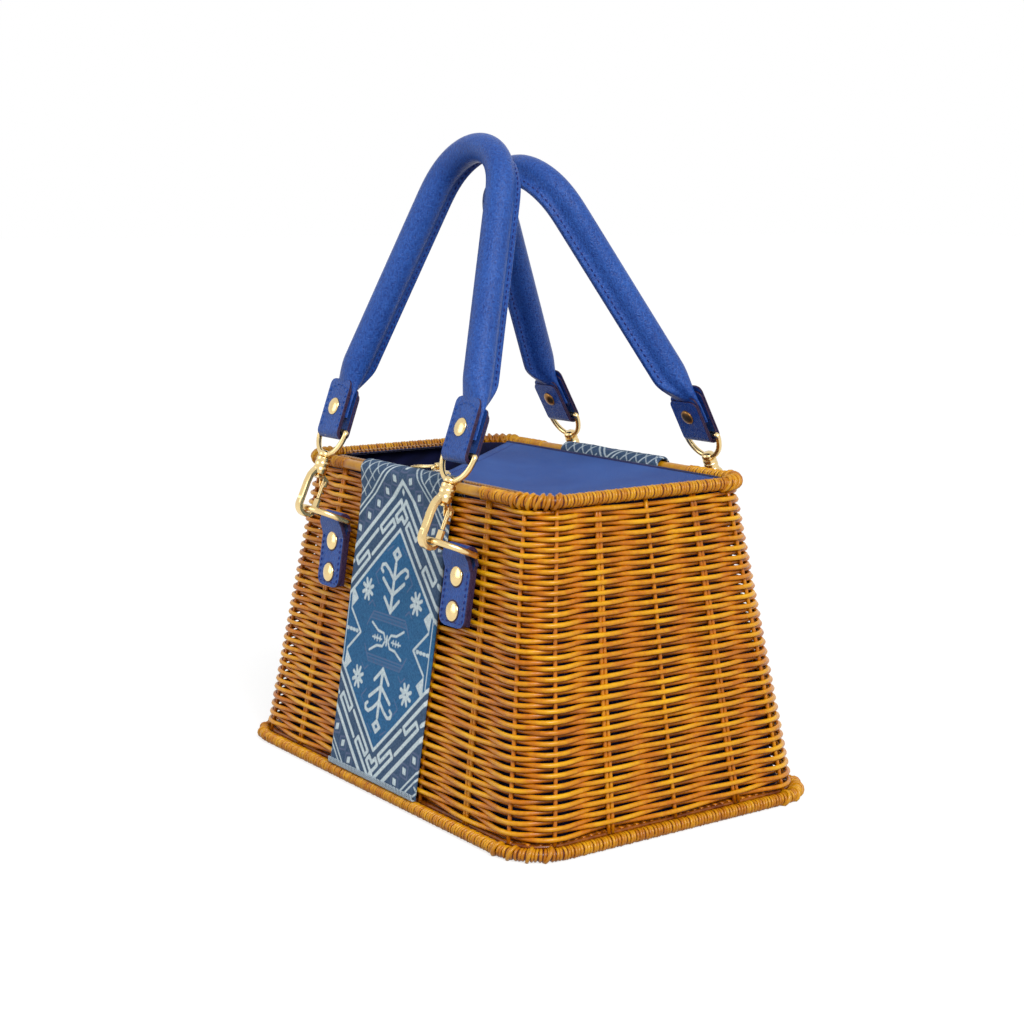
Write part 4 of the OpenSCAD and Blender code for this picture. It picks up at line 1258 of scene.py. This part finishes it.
def make_cover():
    u, v = np.meshgrid(np.linspace(0, 1, 61), np.linspace(0, 1, 61), indexing="ij")
    shape = Shape()
    shape.add(cover_points(u, v).reshape(-1, 3), [f[::-1] for f in grid_faces(61, 61)])
    piece = shape.build("cover_sheet", [COVER], ["top_cover"])
    thicken(piece, 1.2, 1.0)
    edge = Shape()
    t = np.linspace(0, 1, 60)
    edge.add(*tube(cover_points(0.0, t) + (0, 0, -0.2), 1.0, 10), 0)
    fold = [cover_points(s, t) + (0, 0, h) for s, h in ((0.0, 0.85), (0.015, 1.0), (0.05, 0.9), (0.056, 0.2))]
    edge.add(np.concatenate(fold), grid_faces(4, 60), 0)
    stitches(edge, cover_points(0.04, t) + UP, UP, 2, 3.0, 2.0, 0.3)
    rest = np.concatenate([cover_points(t, 0.0), cover_points(1.0, t)[1:], cover_points(t[::-1], 1.0)[1:]])
    edge.add(*tube(resample(rest + (0, 0, 0.7), 220), 1.25, 8), 1)
    binding = edge.build("cover_binding", [COVER, PIPING, BLUE_THREAD])


TAPE_W = 8.0
TAPE_Z = MOUTH_Z + FIT
TEETH_Z = TAPE_Z + 0.8
TOOTH_PITCH = 2.5
TAPE_Y = TOP["depth"] / 2 - MOUTH_INSET - FIT
TAPE_X = TOP["length"] / 2 - MOUTH_INSET - FIT
TEETH_Y = TAPE_Y - TAPE_W / 2


def tooth(at, along, across):
    """One moulded tooth, a small rounded block across the tape."""
    oval = arc((0, 0), 1.9, 0, 360, 13)[:-1] * (0.45, 1.0)
    flat = oval[:, :1] * along + oval[:, 1:] * across
    return np.concatenate([at + flat, at + (0, 0, 1.1) + 0.82 * flat]), tube_faces(2, 12)


def make_zip():
    shape = Shape()
    spare = COVER_R + 2 * TOOTH_PITCH
    runs = [((0, -TAPE_Y + TAPE_W / 2, TAPE_Z), (1.0, 0, 0), TAPE_X - spare),
            ((-TAPE_X + TAPE_W / 2, 0, TAPE_Z), (0, 1.0, 0), TAPE_Y - spare)]
    faces = grid_faces(50, 7)
    for middle, direction, half in runs:
        along = np.array(direction)
        across = np.cross(UP, along)
        s, w = np.meshgrid(np.linspace(-half, half, 50), np.linspace(-1, 1, 7), indexing="ij")
        flat = middle + s[..., None] * along + (w * TAPE_W / 2)[..., None] * across
        top = flat + xyz(0, 0, 0.75 + 0.12 * ripple(s / 9, w * 2, 4))
        shape.add(top.reshape(-1, 3), [f[::-1] for f in faces], 0)
        shape.add(flat.reshape(-1, 3), faces, 0)
        for k in np.arange(-half + 1, half - 1, TOOTH_PITCH):
            shape.add(*tooth(middle + k * along + (0, 0, 0.7), along, across), 1)
    shape.build("zip_tape_and_teeth", [PIPING, BRONZE], ["zip_tape"], sharp=45)


def plate(outer, low, high, bevel):
    """An upright plate from an outline, with a bevelled top edge."""
    outer = np.asarray(outer, float)
    centre = outer.mean(0)
    arm = outer - centre
    inner = centre + arm * (1 - bevel / np.linalg.norm(arm, axis=1, keepdims=True))
    rings = [xyz(*edge.T, z) for edge, z in ((outer, low), (outer, high - bevel), (inner, high))]
    return np.concatenate(rings), tube_faces(3, len(outer))


def make_slider():
    top = TEETH_Z + 1.2 + FIT + 1.6
    bridge = joints["zip_pull_flip"]["pos_m"][2] / MM
    at = np.array([SLIDER_X, -TEETH_Y, 0.0])
    shape = Shape()
    shield = np.concatenate([arc((3.4, 2.0), 2.0, 0, 90, 6), arc((-3.0, 1.2), 2.2, 90, 180, 6),
                             arc((-3.0, -1.2), 2.2, 180, 270, 6), arc((3.4, -2.0), 2.0, 270, 360, 6)])
    shape.add(*plate(shield, top - 1.4, top, 0.5))
    for sign in (-1, 1):
        rail = [(-5.0, sign * 3.0), (5.0, sign * 3.0), (5.0, sign * 3.9), (-5.0, sign * 3.9)]
        shape.add(*plate(rail[::sign], TEETH_Z + FIT, top - 0.9, 0.25))
    hoop = [(0, -3.2, top - 0.4), (0, -3.25, bridge - 0.6), (0, -2.6, bridge), (0, 0, bridge),
            (0, 2.6, bridge), (0, 3.25, bridge - 0.6), (0, 3.2, top - 0.4)]
    shape.add(*tube(resample(hoop, 28), 0.78, 10, up=(1, 0, 0)))
    shape.build("slider_body", [GOLD], ["zip_slider"], "zip_slider", lambda q: q + at, 45)
    make_pull(at + (0, 0, bridge))


PULL_DIP = math.radians(7)


def make_pull(at):
    """A leaf-shaped pull with an eye round the bridge and a slot near its end."""
    shape = Shape()
    for y in (-1.1, 0.0, 1.1):
        ring = xyz(1.3 * np.cos(turns(16)), y, 1.3 * np.sin(turns(16)))
        shape.add(*tube(ring, 0.55, 8, closed=True, up=(0, 1, 0)))
    neck = np.array([(-1.2, 1.4), (-5.0, 1.5), (-9.0, 2.6), (-14.0, 3.0)])
    leaf = np.concatenate([neck, arc((-20.0, 0), 3.0, 90, 270, 12), neck[::-1] * (1, -1)])[::-1]
    shape.add(*plate(leaf, -0.7, 0.75, 0.3))
    slot = np.concatenate([arc((-19.5, 0), 1.2, 90, 270, 8), arc((-15, 0), 1.2, -90, 90, 8)])
    slot_rim = xyz(*resample(slot, 30, closed=True).T, 0.7)
    shape.add(*tube(slot_rim, 0.3, 6, closed=True, up=UP))

    def tilt(points):
        x, y, z = points.T
        return xyz(x * math.cos(PULL_DIP) - z * math.sin(PULL_DIP), y,
                   x * math.sin(PULL_DIP) + z * math.cos(PULL_DIP)) + at

    shape.build("pull_tab", [GOLD], ["zip_pull"], "zip_pull", tilt, 45)


make_lining()
make_cover()
make_zip()
make_slider()


# Floor, light and camera

FLOOR_SIZE = 60.0
FLOOR_GREY = (0.35, 0.35, 0.35, 1.0)
FLOOR_GLOW = 0.755
WORLD_LIGHT = 0.46
LAMP_TARGET = (0, 0, 120)
CAMERA_TARGET = np.array([0, 0, 80.0])
CAMERA_AZIMUTH = math.radians(54.64)
CAMERA_HEIGHT = math.radians(12.44)
CAMERA_FAR = 917.95
CAMERA = {"lens": 62.36, "sensor_width": 36.0, "shift_x": -0.0042, "shift_y": 0.0999,
          "clip_start": 0.01, "clip_end": 100.0}


def make_floor():
    bpy.ops.mesh.primitive_plane_add(size=FLOOR_SIZE, location=(0, 0, -0.0002))
    floor = bpy.context.object
    floor.name = "floor"
    n = new_material("white_floor")
    n.set(Base_Color=FLOOR_GREY, Roughness=0.95, Specular_IOR_Level=0.0, Emission_Color=WHITE,
          Emission_Strength=n.maths("MULTIPLY", n.seen_directly(), FLOOR_GLOW))
    floor.data.materials.append(n.owner)


def make_world():
    n = Nodes(bpy.data.worlds.new("studio"))
    bpy.context.scene.world = n.owner
    light = n.tree.nodes["Background"]
    n.feed(light.inputs["Color"], WHITE)
    n.feed(light.inputs["Strength"], WORLD_LIGHT)
    white = n.node("Background", Color=WHITE, Strength=1.0)
    pick = n.node("MixShader")
    for socket, value in zip(pick.inputs, (n.seen_directly(), light.outputs[0], white.outputs[0])):
        n.feed(socket, value)
    n.feed(n.tree.nodes["World Output"].inputs["Surface"], pick.outputs[0])


def aim(name, data, settings, place, target):
    """Puts a lamp or a camera in the scene, at a place and turned to a target."""
    for key, value in settings.items():
        setattr(data, key, value)
    thing = bpy.data.objects.new(name, data)
    bpy.context.scene.collection.objects.link(thing)
    x, y, z = np.subtract(target, place)
    thing.location = np.asarray(place, float) * MM
    thing.rotation_euler = (math.atan2(math.hypot(x, y), -z), 0.0, math.atan2(-x, y))
    return thing


def lamp(name, kind, place, **settings):
    aim(name, bpy.data.lights.new(name, kind), settings, place, LAMP_TARGET)


def make_camera():
    level = math.cos(CAMERA_HEIGHT)
    back = np.array([math.sin(CAMERA_AZIMUTH) * level, -math.cos(CAMERA_AZIMUTH) * level,
                     math.sin(CAMERA_HEIGHT)])
    place = CAMERA_TARGET + back * CAMERA_FAR
    bpy.context.scene.camera = aim("camera", bpy.data.cameras.new("camera"), CAMERA, place, CAMERA_TARGET)


make_floor()
make_world()
lamp("sky", "SUN", (1000, -120, 900), energy=1.6, angle=math.radians(30))
lamp("key", "AREA", (900, -380, 760), energy=4.5, size=0.5)
lamp("fill", "AREA", (-360, -900, 420), energy=2.4, size=0.6)
make_camera()
bpy.context.scene.view_settings.view_transform = "Standard"
